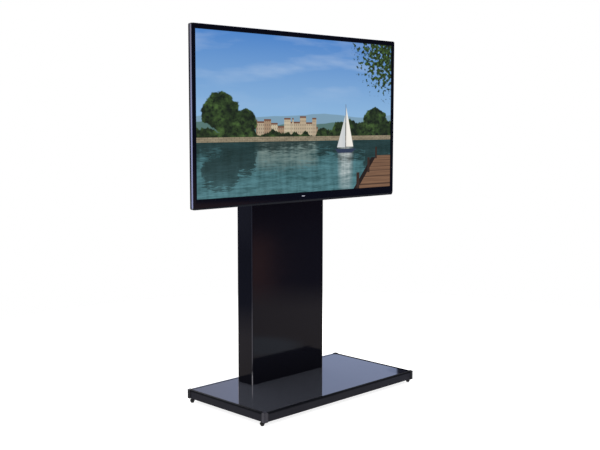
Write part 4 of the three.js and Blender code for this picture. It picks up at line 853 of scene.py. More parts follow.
@dataclass(frozen=True, kw_only=True)
class FloorFinish(Finish):
    """A pale glowing floor that fades towards its rim, with a brighter cool pool in front."""

    dark: Color
    light: Color
    glow: float
    middle: Spot
    fade_start: float
    fade_width: float
    pool: Spot
    pool_radius: float
    pool_blur: float
    pool_light: Color
    roughness: float = 0.7
    spread: float = 0.1
    cloud: float = 0.6

    def sockets(self, graph: Graph) -> Sockets:
        """Gives the shader's inputs by name.

        Args:
            graph: the material's graph.

        Returns:
            The inputs by name.
        """
        pool = graph.away(*self.pool).below(self.pool_radius, self.pool_blur)
        faded = self.fade_start + self.fade_width / 2
        cloud = graph.noise(graph.place(), self.cloud, detail=3.0)
        return {
            "Base Color": graph.blend(cloud, self.dark, self.light),
            "Roughness": cloud * self.spread + self.roughness,
            "Specular IOR Level": 0.0,
            "Alpha": graph.away(*self.middle).below(faded, self.fade_width),
            "Emission Color": graph.blend(pool, WHITE, self.pool_light),
            "Emission Strength": self.glow,
        }


RAIL_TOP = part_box("base_rail_front")[1].z
LIP_DROP = 0.0065
COLUMN_LOW, COLUMN_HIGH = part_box("column_top_cap")
PANEL_LOW, PANEL_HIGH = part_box("display_lcd_panel")
PICTURE_INSET = 0.006

# The rails' satin coat, with painted shade darkening the band along their top edge.
SATIN = LipShadedFinish(
    "satin_black_coat", dark=tone(31, 31, 37), light=tone(40, 40, 45), roughness=0.58,
    drift=14.0, grain=2600.0, depth=0.00002, specular=0.03,
    painted_lip_shade=tone(6, 7, 13), lip_z=RAIL_TOP - LIP_DROP, lip_blur=0.003,
)
BUFFED_SATIN = replace(SATIN, name="buffed_black_coat", lip_gloss=0.85)
MATT_SATIN = replace(SATIN, name="matt_black_coat", specular=0.0)
# Lit and shaded copies of one casting finish: the lighter one is a painted highlight for the
# front-left casting, the darker one painted shade for the other three.
SHADED_CASTING = CoatedFinish(
    "satin_black_casting", dark=tone(17, 17, 20), light=tone(27, 26, 31), roughness=0.5,
    drift=30.0, grain=1400.0, depth=0.00004, specular=0.15,
)
LIT_CASTING = CoatedFinish(
    "rubbed_black_casting", dark=tone(29, 28, 37), light=tone(41, 39, 51), roughness=0.42,
    drift=30.0, grain=1400.0, depth=0.00004,
)
POWDER = CoatedFinish(
    "black_powder_coat", dark=tone(24, 24, 26), light=tone(34, 34, 37), roughness=0.55,
    spread=0.25, drift=20.0, grain=900.0, depth=0.00009,
)
RUBBER = CoatedFinish(
    "matt_black_rubber", dark=tone(18, 18, 19), light=tone(30, 30, 31), roughness=0.82,
    drift=80.0, grain=1500.0, depth=0.00005,
)
MOULDING = CoatedFinish(
    "grained_black_plastic", dark=tone(19, 18, 20), light=tone(26, 25, 28), roughness=0.58,
    spread=0.3, drift=9.0, grain=1100.0, depth=0.00012,
)
# The column's gloss, with a painted highlight on its corner strips that brightens towards the
# column's foot.
LACQUER = TrimmedFinish(
    "gloss_black_lacquer", deep=tone(17, 18, 26), dusty=tone(60, 60, 66), roughness=0.06,
    smudge=0.06, peel=55.0, peel_height=0.00003, specular=0.063, tint=WARM,
    metal=(0.06, 0.058, 0.068, 1.0), foot_highlight=(1.0, 0.97, 1.0, 1.0), foot_z=0.107,
    foot_blur=0.03, share=0.85, edge_x=COLUMN_HIGH.x, edge_y=(COLUMN_HIGH.y - COLUMN_LOW.y) / 2,
    middle_y=(COLUMN_HIGH.y + COLUMN_LOW.y) / 2, reach=0.0026, blur=0.0012,
)
SHEET = GlossFinish(
    "gloss_black_sheet", deep=tone(17, 18, 26), dusty=tone(60, 60, 66), roughness=0.05,
    smudge=0.05, peel=30.0, peel_height=0.00003, specular=0.063, tint=WARM,
)
BEZEL = TrimmedFinish(
    "piano_black_bezel", deep=tone(10, 14, 25), dusty=tone(66, 66, 72), roughness=0.10,
    smudge=0.05, peel=90.0, peel_height=0.00002, specular=0.06,
    metal=(0.44, 0.41, 0.49, 1.0), foot_highlight=WHITE, foot_z=0.0, foot_blur=0.01, share=0.8,
    edge_x=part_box("display_bezel")[1].x, reach=0.0006, blur=0.0004,
)
# The base's glass, with painted shade at the front-right corner where the lighter film colour is
# left off.
GLASS = CornerShadedGlassFinish(
    "back_painted_black_glass", deep=tone(15, 17, 24), dusty=tone(90, 92, 100), roughness=0.015,
    smudge=0.03, peel=8.0, peel_height=0.00002, specular=0.5,
    film=tone(54, 56, 63), shaded_corner=(0.446, -0.196), shaded_corner_radius=0.058, shaded_corner_blur=0.02,
)
ZINC = PlatedFinish(
    "bright_zinc_plate", cool=tone(196, 199, 203), warm=tone(186, 184, 172), roughness=0.24,
    spangle=420.0,
)
BRASS = PlatedFinish(
    "gilt_contact_metal", cool=tone(226, 190, 110), warm=tone(214, 172, 92), roughness=0.2,
    spangle=900.0,
)
LENS = LensFinish(
    "milky_lamp_window", milk=tone(150, 154, 162), glow=tone(205, 214, 226), strength=0.35,
    spot_reach=0.003, spot_blur=0.006, roughness=0.2, spread=0.1, haze=900.0,
)
SCREEN = ScreenFinish(
    "lit_waterside_screen", left=PANEL_LOW.x + PICTURE_INSET, bottom=PANEL_LOW.z + PICTURE_INSET,
    width=PANEL_HIGH.x - PANEL_LOW.x - 2 * PICTURE_INSET,
    height=PANEL_HIGH.z - PANEL_LOW.z - 2 * PICTURE_INSET,
    dark=(0.004, 0.004, 0.005, 1.0), roughness=0.22, spread=0.06, film=1800.0, specular=0.25,
)


class GeometryTree:
    """A Geometry Nodes tree with named inputs that ends as one plain mesh."""

    def __init__(self, name: str, inputs: Mapping[str, str]) -> None:
        """Makes the tree's interface.

        Args:
            name: tree's name.
            inputs: kind of socket by input name, such as Float.
        """
        self.tree = bpy.data.node_groups.new(name, "GeometryNodeTree")
        self.tree.is_modifier = True
        self.graph = Graph(self.tree)
        self._open("Geometry", "Geometry")
        self.names = {label: self._open(label, kind) for label, kind in inputs.items()}
        self._open("Geometry", "Geometry", "OUTPUT")
        self.source = self.graph.node("NodeGroupInput").outputs

    def _open(self, label: str, kind: str, way: str = "INPUT") -> str:
        """Adds a socket to the tree's interface and gives its identifier."""
        kind = f"NodeSocket{kind}"
        return self.tree.interface.new_socket(label, in_out=way, socket_type=kind).identifier

    def step(self, kind: str, inputs: Named, settings: Optional[Named] = None) -> Socket:
        """Adds a geometry node and gives its first result."""
        return self.graph.node(kind, settings, inputs).outputs[0]

    def close(self, geometry: Socket) -> None:
        """Ends the tree with Realize Instances and Set Material.

        Args:
            geometry: the made geometry.
        """
        real = self.step("GeometryNodeRealizeInstances", {"Geometry": geometry})
        inputs = {"Geometry": real, "Material": self.source["Finish"]}
        dressed = self.step("GeometryNodeSetMaterial", inputs)
        self.graph.node("NodeGroupOutput", {}, {"Geometry": dressed})

    def run(self, piece: Piece, values: Named) -> Piece:
        """Runs the tree on a piece and keeps the result as its plain mesh.

        Args:
            piece: the object whose mesh the tree starts from.
            values: the named inputs' values.

        Returns:
            The same object with the finished mesh.
        """
        modifier = piece.modifiers.new(self.tree.name, "NODES")
        modifier.node_group = self.tree
        for label, value in values.items():
            modifier[self.names[label]] = value
        bpy.context.view_layer.update()
        evaluated = piece.evaluated_get(bpy.context.evaluated_depsgraph_get())
        mesh = bpy.data.meshes.new_from_object(evaluated)
        mesh.name = piece.name
        piece.modifiers.remove(modifier)
        piece.data = mesh
        return piece


class RaisedSection(GeometryTree):
    """Raises a filled section into a closed bar."""

    def __init__(self) -> None:
        """Builds the tree: extrude upwards, close the foot, merge."""
        super().__init__("raised_section", {"Height": "Float", "Finish": "Material"})
        section = self.source["Geometry"]
        rise = self.graph.join(0.0, 0.0, self.source["Height"])
        inputs = {"Mesh": section, "Offset": rise, "Individual": False}
        sides = self.step("GeometryNodeExtrudeMesh", inputs, {"mode": "FACES"})
        foot = self.step("GeometryNodeFlipFaces", {"Mesh": section})
        both = self.graph.node("GeometryNodeJoinGeometry", {}, {"Geometry": sides})
        self.tree.links.new(foot, both.inputs["Geometry"])
        inputs = {"Geometry": both.outputs[0], "Distance": MERGE_DISTANCE}
        self.close(self.step("GeometryNodeMergeByDistance", inputs))


class ScatteredHeads(GeometryTree):
    """Sets one small piece on every point of a mesh, turned to face a direction."""

    def __init__(self) -> None:
        """Builds the tree: points, facing, instances."""
        inputs = {"Head": "Object", "Facing": "Vector", "Finish": "Material"}
        super().__init__("scattered_heads", inputs)
        points = self.step("GeometryNodeMeshToPoints", {"Mesh": self.source["Geometry"]})
        head = self.graph.node("GeometryNodeObjectInfo", {}, {"Object": self.source["Head"]})
        facing = {"Vector": self.source["Facing"]}
        turn = self.step("FunctionNodeAlignRotationToVector", facing, {"axis": "Z"})
        inputs = {"Points": points, "Instance": head.outputs["Geometry"], "Rotation": turn}
        self.close(self.step("GeometryNodeInstanceOnPoints", inputs))


class ContactRow(GeometryTree):
    """Repeats one contact along X."""

    def __init__(self) -> None:
        """Builds the tree: a line of points with the piece's mesh on each."""
        super().__init__("contact_row", {"Count": "Int", "Pitch": "Float", "Finish": "Material"})
        offset = self.graph.join(self.source["Pitch"], 0.0, 0.0)
        inputs = {"Count": self.source["Count"], "Offset": offset}
        line = self.step("GeometryNodeMeshLine", inputs, {"mode": "OFFSET"})
        inputs = {"Points": line, "Instance": self.source["Geometry"]}
        self.close(self.step("GeometryNodeInstanceOnPoints", inputs))


class Maker:
    """Builds plain meshes in the part's frame."""

    @staticmethod
    def show(name: str, data: bpy.types.ID) -> Piece:
        """Adds an object to the scene, at the origin.

        Args:
            name: its name.
            data: its mesh, light or camera.

        Returns:
            The object.
        """
        made = bpy.data.objects.new(name, data)
        bpy.context.scene.collection.objects.link(made)
        return made

    @staticmethod
    def piece(name: str, points: Sequence[Point], faces: Sequence[Sequence[int]] = ()) -> Piece:
        """Adds a piece from points and faces.

        Args:
            name: piece's name.
            points: its points.
            faces: the numbers of each face's points.

        Returns:
            The piece.
        """
        mesh = bpy.data.meshes.new(name)
        mesh.from_pydata(points, [], faces)
        return Maker.show(name, mesh)

    @staticmethod
    def finished(name: str, work: bmesh.types.BMesh) -> Piece:
        """Ends mesh work as a piece.

        Args:
            name: piece's name.
            work: the mesh that was worked on, which is freed.

        Returns:
            The piece.
        """
        mesh = bpy.data.meshes.new(name)
        work.to_mesh(mesh)
        work.free()
        return Maker.show(name, mesh)

    @staticmethod
    def smooth(piece: Piece) -> Piece:
        """Shades a piece smoothly between its sharp edges.

        Args:
            piece: the piece.

        Returns:
            The same piece.
        """
        piece.data.shade_smooth()
        piece.data.set_sharp_from_angle(angle=SHARP_ANGLE)
        steady = piece.modifiers.new("steady_normals", "WEIGHTED_NORMAL")
        steady.keep_sharp = True
        return piece

    @staticmethod
    def copy_of(node: str, soften: float = 0.0) -> Piece:
        """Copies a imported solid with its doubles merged.

        Args:
            node: the solid's node.
            soften: width of the small bevel on its edges, 0 for none.

        Returns:
            The copy, smoothly shaded.
        """
        work = bmesh.new()
        work.from_mesh(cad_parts[node].data)
        bmesh.ops.remove_doubles(work, verts=work.verts, dist=MERGE_DISTANCE)
        if soften:
            verts, edges = work.verts, work.edges
            bmesh.ops.dissolve_limit(work, angle_limit=FLAT_ANGLE, verts=verts, edges=edges)
        work.verts.index_update()
        points = [tuple(vert.co) for vert in work.verts]
        faces = [[vert.index for vert in face.verts] for face in work.faces]
        work.free()
        piece = Maker.piece(f"{node}_dressed", points, faces)
        if soften:
            bevel = piece.modifiers.new("soft_edges", "BEVEL")
            bevel.width = soften
            bevel.segments = 2
            bevel.limit_method = "ANGLE"
            bevel.angle_limit = SHARP_ANGLE
        return Maker.smooth(piece)

    @staticmethod
    def turned(
        name: str, rings: Sequence[Ring], hexagons: Sequence[int] = (), sides: int = 36
    ) -> Piece:
        """Adds a closed turned form about Z.

        Args:
            name: piece's name.
            rings: height and radius of each; the first and last have no radius.
            hexagons: the numbers of the rings that are hexagons.
            sides: points on each ring, a multiple of six.

        Returns:
            The piece.
        """
        half_side = math.pi / 6
        points: list[Point] = [(0.0, 0.0, rings[0][0])]
        faces: list[list[int]] = []
        for number, (height, radius) in enumerate(rings[1:-1], 1):
            for step in range(sides):
                angle = 2 * math.pi * step / sides
                reach = radius
                if number in hexagons:
                    reach *= math.cos(half_side) / math.cos(angle % (2 * half_side) - half_side)
                points.append((reach * math.cos(angle), reach * math.sin(angle), height))
        points.append((0.0, 0.0, rings[-1][0]))
        last = len(points) - 1
        top = last - sides
        for step in range(sides):
            after = (step + 1) % sides
            faces.append([0, 1 + after, 1 + step])
            faces.append([last, top + step, top + after])
            for low in range(1, top, sides):
                high = low + sides
                faces.append([low + step, low + after, high + after, high + step])
        return Maker.piece(name, points, faces)

    @staticmethod
    def put(piece: Piece, place: Point, facing: Facing = Facing.UP) -> Piece:
        """Turns and moves a piece's mesh, and shades it smoothly.

        Args:
            piece: the piece, which stands at the origin.
            place: where its foot goes.
            facing: the direction of its top.

        Returns:
            The same piece.
        """
        turn = Vector(Facing.UP.value).rotation_difference(Vector(facing.value))
        piece.data.transform(Matrix.Translation(Vector(place)) @ turn.to_matrix().to_4x4())
        return Maker.smooth(piece)

    @staticmethod
    def chip(name: str, low: Point, high: Point, soften: float) -> Piece:
        """Adds a small block with rounded edges.

        Args:
            name: piece's name.
            low: lowest corner.
            high: highest corner.
            soften: bevel width.

        Returns:
            The piece.
        """
        work = bmesh.new()
        bmesh.ops.create_cube(work, size=1.0)
        sizes = [b - a for a, b in zip(low, high)]
        middle = [(a + b) / 2 for a, b in zip(low, high)]
        bmesh.ops.scale(work, vec=sizes, verts=work.verts)
        bmesh.ops.translate(work, vec=middle, verts=work.verts)
        edges = work.edges[:]
        bmesh.ops.bevel(work, geom=edges, offset=soften, segments=2, profile=0.5, affect="EDGES")
        return Maker.finished(name, work)


@dataclass
class SubAssembly:
    """Steps that every sub-assembly shares."""

    body: Body

    def build(self) -> None:
        """Builds and dresses the pieces."""
        raise NotImplementedError

    def settle(
        self,
        piece: Piece,
        finish: Finish,
        slot: Slot,
        nodes: Sequence[str] = (),
        body: Optional[Body] = None,
    ) -> None:
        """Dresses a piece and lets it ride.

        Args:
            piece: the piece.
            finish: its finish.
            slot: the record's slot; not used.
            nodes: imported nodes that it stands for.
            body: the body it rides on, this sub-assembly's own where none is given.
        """
        rider = body or self.body
        piece.data.materials.clear()
        piece.data.materials.append(finish.material())
        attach(piece, rider.value)
        if nodes:
            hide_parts(*nodes)
        LOG.info("%s: %s on %s", piece.name, finish.name, rider.value)

    def dress(
        self,
        node: str,
        finish: Finish,
        slot: Slot,
        soften: float = 0.0,
        body: Optional[Body] = None,
    ) -> None:
        """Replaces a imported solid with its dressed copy, its edges softened by a width."""
        self.settle(Maker.copy_of(node, soften), finish, slot, (node,), body)

    def paint(self, node: str, finish: Finish) -> None:
        """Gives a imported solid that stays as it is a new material.

        Args:
            node: the solid's node.
            finish: its finish.
        """
        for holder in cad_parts[node].material_slots:
            holder.material = finish.material()
        LOG.info("%s: %s kept", node, finish.name)

    def heads(
        self, name: str, places: Sequence[Point], facing: Facing, radius: float, body: Body
    ) -> None:
        """Sets zinc screw heads on places, as one piece.

        Args:
            name: piece's name.
            places: where the heads sit.
            facing: the direction they face.
            radius: a head's radius.
            body: the body they ride on.
        """
        dome = [(0.0, 0.0), (0.0, 1.0), (0.3, 0.97), (0.5, 0.8)]
        socket = [(0.56, 0.55), (0.2, 0.5), (0.16, 0.0)]
        rings = [(height * radius, reach * radius) for height, reach in dome + socket]
        head = Maker.turned("one_head", rings, hexagons=(4, 5), sides=18)
        values = {"Head": head, "Facing": facing.value, "Finish": ZINC.material()}
        piece = ScatteredHeads().run(Maker.piece(name, places), values)
        bpy.data.objects.remove(head)
        self.settle(Maker.smooth(piece), ZINC, Slot.ZINC, body=body)


@dataclass
class Base(SubAssembly):
    """Rails, corner castings, feet, glass top and the steel under it."""

    body: Body = Body.STAND
    rail_soften: float = 0.0005
    pad_top_radius: float = 0.0105
    pad_tip_radius: float = 0.0065
    pad_height: float = 0.013
    pad_edge: float = 0.0008
    pad_roll: float = 0.3
    flare_start: float = 0.55
    flare_end: float = 0.72
    socket_radius: float = 0.0033
    socket_floor: float = 0.0069

    def build(self) -> None:
        """Builds and dresses the base."""
        rails = {"front": SATIN, "rear": BUFFED_SATIN, "left": SATIN, "right": MATT_SATIN}
        for name, finish in rails.items():
            self.dress(f"base_rail_{name}", finish, Slot.FRAME, self.rail_soften)
        for end, side in CORNERS:
            corner = f"{end}_{side}"
            # The front-left casting takes the painted highlight, the others the painted shade.
            casting = LIT_CASTING if corner == "front_left" else SHADED_CASTING
            self.dress(f"corner_casting_{corner}", casting, Slot.FRAME)
            self.dress(f"foot_stud_{corner}", POWDER, Slot.STEEL)
            self._pad(f"foot_pad_{corner}")
        self.dress("base_top_panel", GLASS, Slot.GLASS)
        for node in ("base_ballast_plate", "base_cross_member_left", "base_cross_member_right"):
            self.paint(node, POWDER)

    def _pad(self, node: str) -> None:
        """Turns one rubber pad with a rolled edge and a socket for its stud.

        Args:
            node: the pad's node.
        """
        low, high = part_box(node)
        middle = (low + high) / 2
        edge = self.pad_edge
        roll = edge * self.pad_roll
        top = self.pad_height
        rings = [
            (0.0, 0.0),
            (0.0, self.pad_tip_radius - edge),
            (roll, self.pad_tip_radius - roll),
            (edge, self.pad_tip_radius),
            (top * self.flare_start, self.pad_top_radius - edge),
            (top * self.flare_end, self.pad_top_radius),
            (top - edge, self.pad_top_radius),
            (top - roll, self.pad_top_radius - roll),
            (top, self.pad_top_radius - edge),
            (top, self.socket_radius),
            (self.socket_floor, self.socket_radius),
            (self.socket_floor, 0.0),
        ]
        piece = Maker.put(Maker.turned(f"{node}_turned", rings), (middle.x, middle.y, low.z))
        self.settle(piece, RUBBER, Slot.RUBBER, (node,))


@dataclass
class Column(SubAssembly):
    """Corner profiles, gloss cladding, cap, grommet and the steel inside."""

    body: Body = Body.STAND
    nose_width: float = 0.010
    nose_radius: float = 0.004
    nose_steps: int = 14
    rebate: float = 0.0043
    wall: float = 0.002
    flange: float = 0.012
    rear_land: float = 0.014
    cap_screw_inset: float = 0.014
    cap_screw_radius: float = 0.0028

    def build(self) -> None:
        """Builds and dresses the column."""
        tree = RaisedSection()
        for end, side in CORNERS:
            self._profile(tree, end, side)
        for node in ("column_front_panel", "column_side_panel_left", "column_side_panel_right"):
            self.dress(node, SHEET, Slot.PANEL)
        self.dress("column_top_cap", LACQUER, Slot.PANEL)
        self.dress("cable_grommet", RUBBER, Slot.RUBBER)
        self._cap_screws()
        for name in ("foot_plate", "upright_left", "upright_right", "upright_tie"):
            self.paint(f"column_{name}", POWDER)

    def _profile(self, tree: RaisedSection, end: str, side: str) -> None:
        """Raises one corner profile from its section.

        Args:
            tree: the tree that raises it.
            end: front or rear.
            side: left or right.
        """
        node = f"column_profile_{end}_{side}"
        low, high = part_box(node)
        across = 1 if side == "right" else -1
        along = 1 if end == "rear" else -1
        corner_x = high.x if across > 0 else low.x
        corner_y = high.y if along > 0 else low.y
        section = self._section(end)
        points = [(corner_x + across * u, corner_y + along * v, low.z) for u, v in section]
        if across * along < 0:
            points.reverse()
        bar = Maker.piece(f"{node}_raised", points, [range(len(points))])
        values = {"Height": high.z - low.z, "Finish": LACQUER.material()}
        self.settle(Maker.smooth(tree.run(bar, values)), LACQUER, Slot.PROFILE, (node,))

    def _section(self, end: str) -> list[Spot]:
        """Draws a corner profile's section, inwards from the corner that it would have.

        Args:
            end: front or rear; the rear one has a land for the door.

        Returns:
            The section's points in order.
        """
        nose = self.nose_radius
        reach = self.nose_width + (self.rear_land if end == "rear" else 0.0)
        leaf = reach + self.flange
        shank = self.nose_width + self.flange
        inner = self.rebate + self.wall
        turns = [math.pi / 2 * step / self.nose_steps for step in range(self.nose_steps + 1)]
        rounded = [(nose * math.cos(turn) - nose, nose * math.sin(turn) - nose) for turn in turns]
        return rounded + [
            (-reach, 0.0),
            (-reach, -self.rebate),
            (-leaf, -self.rebate),
            (-leaf, -inner),
            (-inner, -inner),
            (-inner, -shank),
            (-self.rebate, -shank),
            (-self.rebate, -self.nose_width),
            (0.0, -self.nose_width),
        ]

    def _cap_screws(self) -> None:
        """Sets a screw near each corner of the cap."""
        inset = self.cap_screw_inset
        places = [
            (x, y, COLUMN_HIGH.z)
            for x in (COLUMN_LOW.x + inset, COLUMN_HIGH.x - inset)
            for y in (COLUMN_LOW.y + inset, COLUMN_HIGH.y - inset)
        ]
        self.heads("column_cap_screws", places, Facing.UP, self.cap_screw_radius, self.body)


@dataclass
class Door(SubAssembly):
    """Service door with its stiffener, hinges and quarter-turn lock."""

    body: Body = Body.DOOR
    screw_radius: float = 0.0024
    screw_pitch: float = 0.021
    leaf_thickness: float = 0.0015
    door_leaf_inset: float = 0.008
    frame_leaf_inset: float = 0.0045

    def build(self) -> None:
        """Builds and dresses the door."""
        self.dress("rear_door", SHEET, Slot.PANEL)
        self.paint("door_stiffener", POWDER)
        for level in LEVELS:
            self.dress(f"hinge_door_leaf_{level}", ZINC, Slot.ZINC)
            self.dress(f"hinge_frame_leaf_{level}", ZINC, Slot.ZINC, body=Body.STAND)
        self._leaf_screws("door", Body.DOOR)
        self._leaf_screws("frame", Body.STAND)
        self.dress("door_lock", ZINC, Slot.ZINC, body=Body.LOCK)

    def _leaf_screws(self, leaf: str, body: Body) -> None:
        """Sets screws down the free edge of both hinges' leaves.

        Args:
            leaf: which of the two leaves.
            body: the body it belongs to.
        """
        places = []
        for level in LEVELS:
            low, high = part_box(f"hinge_{leaf}_leaf_{level}")
            x = low.x + self.door_leaf_inset if leaf == "door" else high.x - self.frame_leaf_inset
            middle_z = (low.z + high.z) / 2
            for step in (-1, 0, 1):
                places.append((x, low.y + self.leaf_thickness, middle_z + step * self.screw_pitch))
        self.heads(f"hinge_{leaf}_leaf_screws", places, Facing.BACK, self.screw_radius, body)


@dataclass
class Mount(SubAssembly):
    """Wall-plate rails on the column and the display's hook arms."""

    body: Body = Body.DISPLAY
    strip_soften: float = 0.0003

    def build(self) -> None:
        """Builds and dresses the mount."""
        for level in LEVELS:
            self.dress(f"mount_rail_{level}", POWDER, Slot.STEEL, self.strip_soften, Body.STAND)
            for side in SIDES:
                self.dress(f"rail_bolt_{level}_{side}", ZINC, Slot.ZINC, body=Body.STAND)
                self.dress(f"vesa_screw_{level}_{side}", ZINC, Slot.ZINC)
        for side in SIDES:
            self.dress(f"mount_arm_{side}", POWDER, Slot.STEEL, self.strip_soften)


@dataclass
class Display(SubAssembly):
    """Bezel, lit face, rear housing, sockets and button."""

    body: Body = Body.DISPLAY
    first_video_x: float = 0.2815
    second_video_x: float = 0.3105
    data_x: float = 0.3395
    network_x: float = 0.3685
    socket_z: float = 1.1536
    socket_floor_y: float = 0.0483
    socket_mouth_y: float = 0.0573
    rooted: float = 0.0002
    tongue_recess: float = 0.0012
    tongue_soften: float = 0.0002
    contact_recess: float = 0.0022
    contact_soften: float = 0.00005
    contact_thickness: float = 0.0003
    pin_radius: float = 0.0012
    pin_spread: float = 0.0043
    pin_length: float = 0.0095
    pin_start: float = 0.0132

    def build(self) -> None:
        """Builds and dresses the display."""
        self.dress("display_bezel", BEZEL, Slot.BEZEL)
        self.dress("display_lcd_panel", SCREEN, Slot.SCREEN)
        self.paint("display_backlight_tray", ZINC)
        for name in ("rear_housing", "terminal_panel", "power_inlet"):
            self.dress(f"display_{name}", MOULDING, Slot.HOUSING)
        self.dress("display_power_button", MOULDING, Slot.HOUSING, body=Body.BUTTON)
        self.dress("display_lamp_window", LENS, Slot.LAMP)
        self._tongues()
        self._contacts()
        self._pins()

    def _tongues(self) -> None:
        """Adds the tongue inside each plug socket, by place, width, thickness and rise."""
        sizes = {
            "first_video": (self.first_video_x, 0.0105, 0.0010, 0.0),
            "second_video": (self.second_video_x, 0.0105, 0.0010, 0.0),
            "data": (self.data_x, 0.0108, 0.0016, 0.0008),
        }
        for name, (x, width, thickness, rise) in sizes.items():
            middle = self.socket_z + rise
            low = (x - width / 2, self.socket_floor_y - self.rooted, middle - thickness / 2)
            high = (x + width / 2, self.socket_mouth_y - self.tongue_recess, middle + thickness / 2)
            piece = Maker.chip(f"display_{name}_tongue", low, high, self.tongue_soften)
            self.settle(Maker.smooth(piece), MOULDING, Slot.HOUSING)

    def _contacts(self) -> None:
        """Adds the sockets' contact rows, by place, count, pitch, width and rise."""
        rows = {
            "first_video": (self.first_video_x, 9, 0.0011, 0.00036, 0.00045),
            "second_video": (self.second_video_x, 9, 0.0011, 0.00036, 0.00045),
            "data": (self.data_x, 4, 0.0024, 0.0011, -0.00005),
            "network": (self.network_x, 8, 0.00102, 0.00045, 0.00355),
        }
        tree = ContactRow()
        for name, (x, count, pitch, width, rise) in rows.items():
            start = x - (count - 1) / 2 * pitch
            z = self.socket_z + rise
            low = (start - width / 2, self.socket_floor_y - self.rooted, z)
            mouth_y = self.socket_mouth_y - self.contact_recess
            high = (start + width / 2, mouth_y, z + self.contact_thickness)
            leaf = Maker.chip(f"display_{name}_contacts", low, high, self.contact_soften)
            values = {"Count": count, "Pitch": pitch, "Finish": BRASS.material()}
            self.settle(Maker.smooth(tree.run(leaf, values)), BRASS, Slot.ZINC)

    def _pins(self) -> None:
        """Adds the two round pins of the power inlet."""
        low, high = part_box("display_power_inlet")
        middle = (low + high) / 2
        radius = self.pin_radius
        length = self.pin_length
        dome = ((1.0, 1.0), (0.4, 0.8), (0.1, 0.4))
        tip = [(length - drop * radius, reach * radius) for drop, reach in dome]
        rings = [(0.0, 0.0), (0.0, radius), *tip, (length, 0.0)]
        for side, sign in zip(SIDES, (-1, 1)):
            place = (middle.x + sign * self.pin_spread, high.y - self.pin_start, middle.z)
            piece = Maker.turned(f"display_inlet_pin_{side}", rings)
            self.settle(Maker.put(piece, place, Facing.BACK), ZINC, Slot.ZINC)


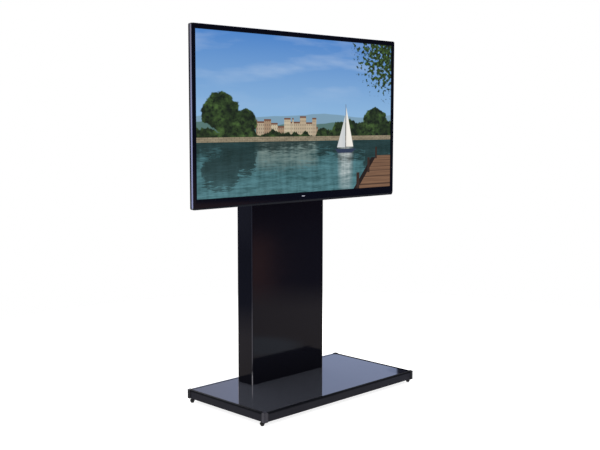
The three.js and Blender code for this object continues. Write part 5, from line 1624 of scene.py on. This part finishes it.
@dataclass
class Studio:
    """Camera, pale floor, soft lights and the air around them."""

    camera_place: Point = (-2.9912, -2.9781, 1.2234)
    camera_turn: float = -44.849
    camera_pitch: float = -6.173
    camera_roll: float = 0.081
    camera_reach: float = 200.0
    lens: float = 56.77
    sensor: float = 36.0
    floor_place: Point = (0.14, -0.14, 0.0)
    floor_radius: float = 2.6
    floor_sides: int = 96
    floor_fade: float = 1.6
    floor_glow: float = 0.86
    pool_place: Spot = (0.45, -0.6)
    pool_radius: float = 0.22
    pool_blur: float = 0.12
    pool_light: Color = (1.58, 2.28, 2.98, 1.0)
    sun_energy: float = 1.3
    sun_spread: float = 1.1
    sun_turn: Spot = (14.0, -18.0)
    fill_place: Point = (1.6, 5.0, 3.2)
    fill_target: Point = (0.0, 0.0, 0.8)
    fill_energy: float = 170.0
    fill_size: float = 3.2

    def build(self) -> None:
        """Builds the studio."""
        self._camera()
        self._floor()
        self._air()
        self._lights()
        view = bpy.context.scene.view_settings
        view.view_transform = "Standard"
        view.look = "None"
        LOG.info("studio ready")

    def _camera(self) -> None:
        """Sets the camera at the photograph's place and angle."""
        data = bpy.data.cameras.new("photo_camera")
        data.lens = self.lens
        data.sensor_width = self.sensor
        data.sensor_fit = "HORIZONTAL"
        data.clip_end = self.camera_reach
        camera = Maker.show("photo_camera", data)
        turn = Matrix.Rotation(math.radians(self.camera_turn), 4, "Z")
        tilt = Matrix.Rotation(math.radians(90 + self.camera_pitch), 4, "X")
        roll = Matrix.Rotation(math.radians(self.camera_roll), 4, "Z")
        camera.matrix_world = Matrix.Translation(Vector(self.camera_place)) @ turn @ tilt @ roll
        bpy.context.scene.camera = camera

    def _floor(self) -> None:
        """Lays a wide pale floor just under the feet."""
        work = bmesh.new()
        sides = self.floor_sides
        bmesh.ops.create_circle(work, cap_ends=True, segments=sides, radius=self.floor_radius)
        bmesh.ops.translate(work, vec=self.floor_place, verts=work.verts)
        floor = Maker.finished("studio_floor", work)
        pale = FloorFinish(
            "pale_studio_floor", dark=tone(186, 186, 186), light=tone(194, 194, 194),
            glow=self.floor_glow, middle=self.floor_place[:2], fade_start=self.floor_fade,
            fade_width=self.floor_radius - self.floor_fade, pool=self.pool_place,
            pool_radius=self.pool_radius, pool_blur=self.pool_blur, pool_light=self.pool_light,
        )
        floor.data.materials.append(pale.material())

    def _air(self) -> None:
        """Surrounds the scene: white to look at, with bright and dark sides to reflect."""
        world = bpy.data.worlds.new("studio_air")
        bpy.context.scene.world = world
        world.use_nodes = True
        world.node_tree.nodes.clear()
        graph = Graph(world.node_tree)
        x, y, z = graph.split(graph.node("ShaderNodeTexCoord").outputs["Generated"])
        front_right = (x - y) * DIAGONAL
        rear_left = (y - x) * DIAGONAL
        rear_right = (x + y) * DIAGONAL
        overhead = z.above(0.75, 0.4).most((y + x * 0.6).above(0.45, 0.5) * z.above(0.05, 0.3))
        dark_side = front_right.above(0.9, 0.14) * z.below(0.2, 0.1)
        warm_patch = dark_side * (x + y).below(-0.046, 0.03) * z.below(-0.119, 0.02)
        cool_side = rear_left.above(0.9, 0.1) * z.above(-0.122, 0.03) * z.below(0.05, 0.1)
        backdrop = rear_right.above(0.86, 0.1) * z.above(0.17, 0.05) * z.below(0.36, 0.1)
        backdrop_end = (x * 0.633 - y * 0.774).below(0.002, 0.002)
        turn = (x - y).above(-0.06, 0.2)
        blue = graph.blend(turn, (0.5, 0.54, 0.76, 1.0), (0.6, 0.72, 1.11, 1.0))
        air = graph.blend(z.above(0.0, 0.2), (0.2, 0.24, 0.36, 1.0), (0.36, 0.36, 0.38, 1.0))
        for mask, color in (
            (overhead, (1.05, 1.05, 1.06, 1.0)),
            (dark_side, (0.14, 0.08, 0.12, 1.0)),
            (warm_patch, (1.84, 0.94, 0.7, 1.0)),
            (cool_side, (0.6, 0.72, 1.1, 1.0)),
            (backdrop, graph.blend(backdrop_end, (0.03, 0.03, 0.045, 1.0), blue)),
        ):
            air = graph.blend(mask, air, color)
        seen = graph.node("ShaderNodeLightPath").outputs["Is Camera Ray"]
        shown = {"Color": graph.blend(seen, air, WHITE), "Strength": 1.0}
        light = graph.node("ShaderNodeBackground", {}, shown)
        graph.node("ShaderNodeOutputWorld", {}, {"Surface": light.outputs[0]})

    def _lights(self) -> None:
        """Adds a wide soft light from above and a gentle one from behind."""
        sun = bpy.data.lights.new("overhead_softbox", "SUN")
        sun.energy = self.sun_energy
        sun.angle = self.sun_spread
        holder = Maker.show("overhead_softbox", sun)
        holder.rotation_euler = (*map(math.radians, self.sun_turn), 0.0)
        fill = bpy.data.lights.new("rear_softbox", "AREA")
        fill.energy = self.fill_energy
        fill.size = self.fill_size
        place = Vector(self.fill_place)
        turn = (place - Vector(self.fill_target)).to_track_quat("Z", "Y").to_matrix().to_4x4()
        Maker.show("rear_softbox", fill).matrix_world = Matrix.Translation(place) @ turn


def write_sizes() -> None:
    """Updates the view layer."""
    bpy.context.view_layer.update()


def main() -> None:
    """Builds the studio and the sub-assemblies in order."""
    logging.basicConfig(level=logging.INFO, format="%(message)s")
    Studio().build()
    for part in (Base(), Column(), Door(), Mount(), Display()):
        part.build()
        LOG.info("%s done", type(part).__name__)
    write_sizes()


if __name__ == "__main__":
    main()
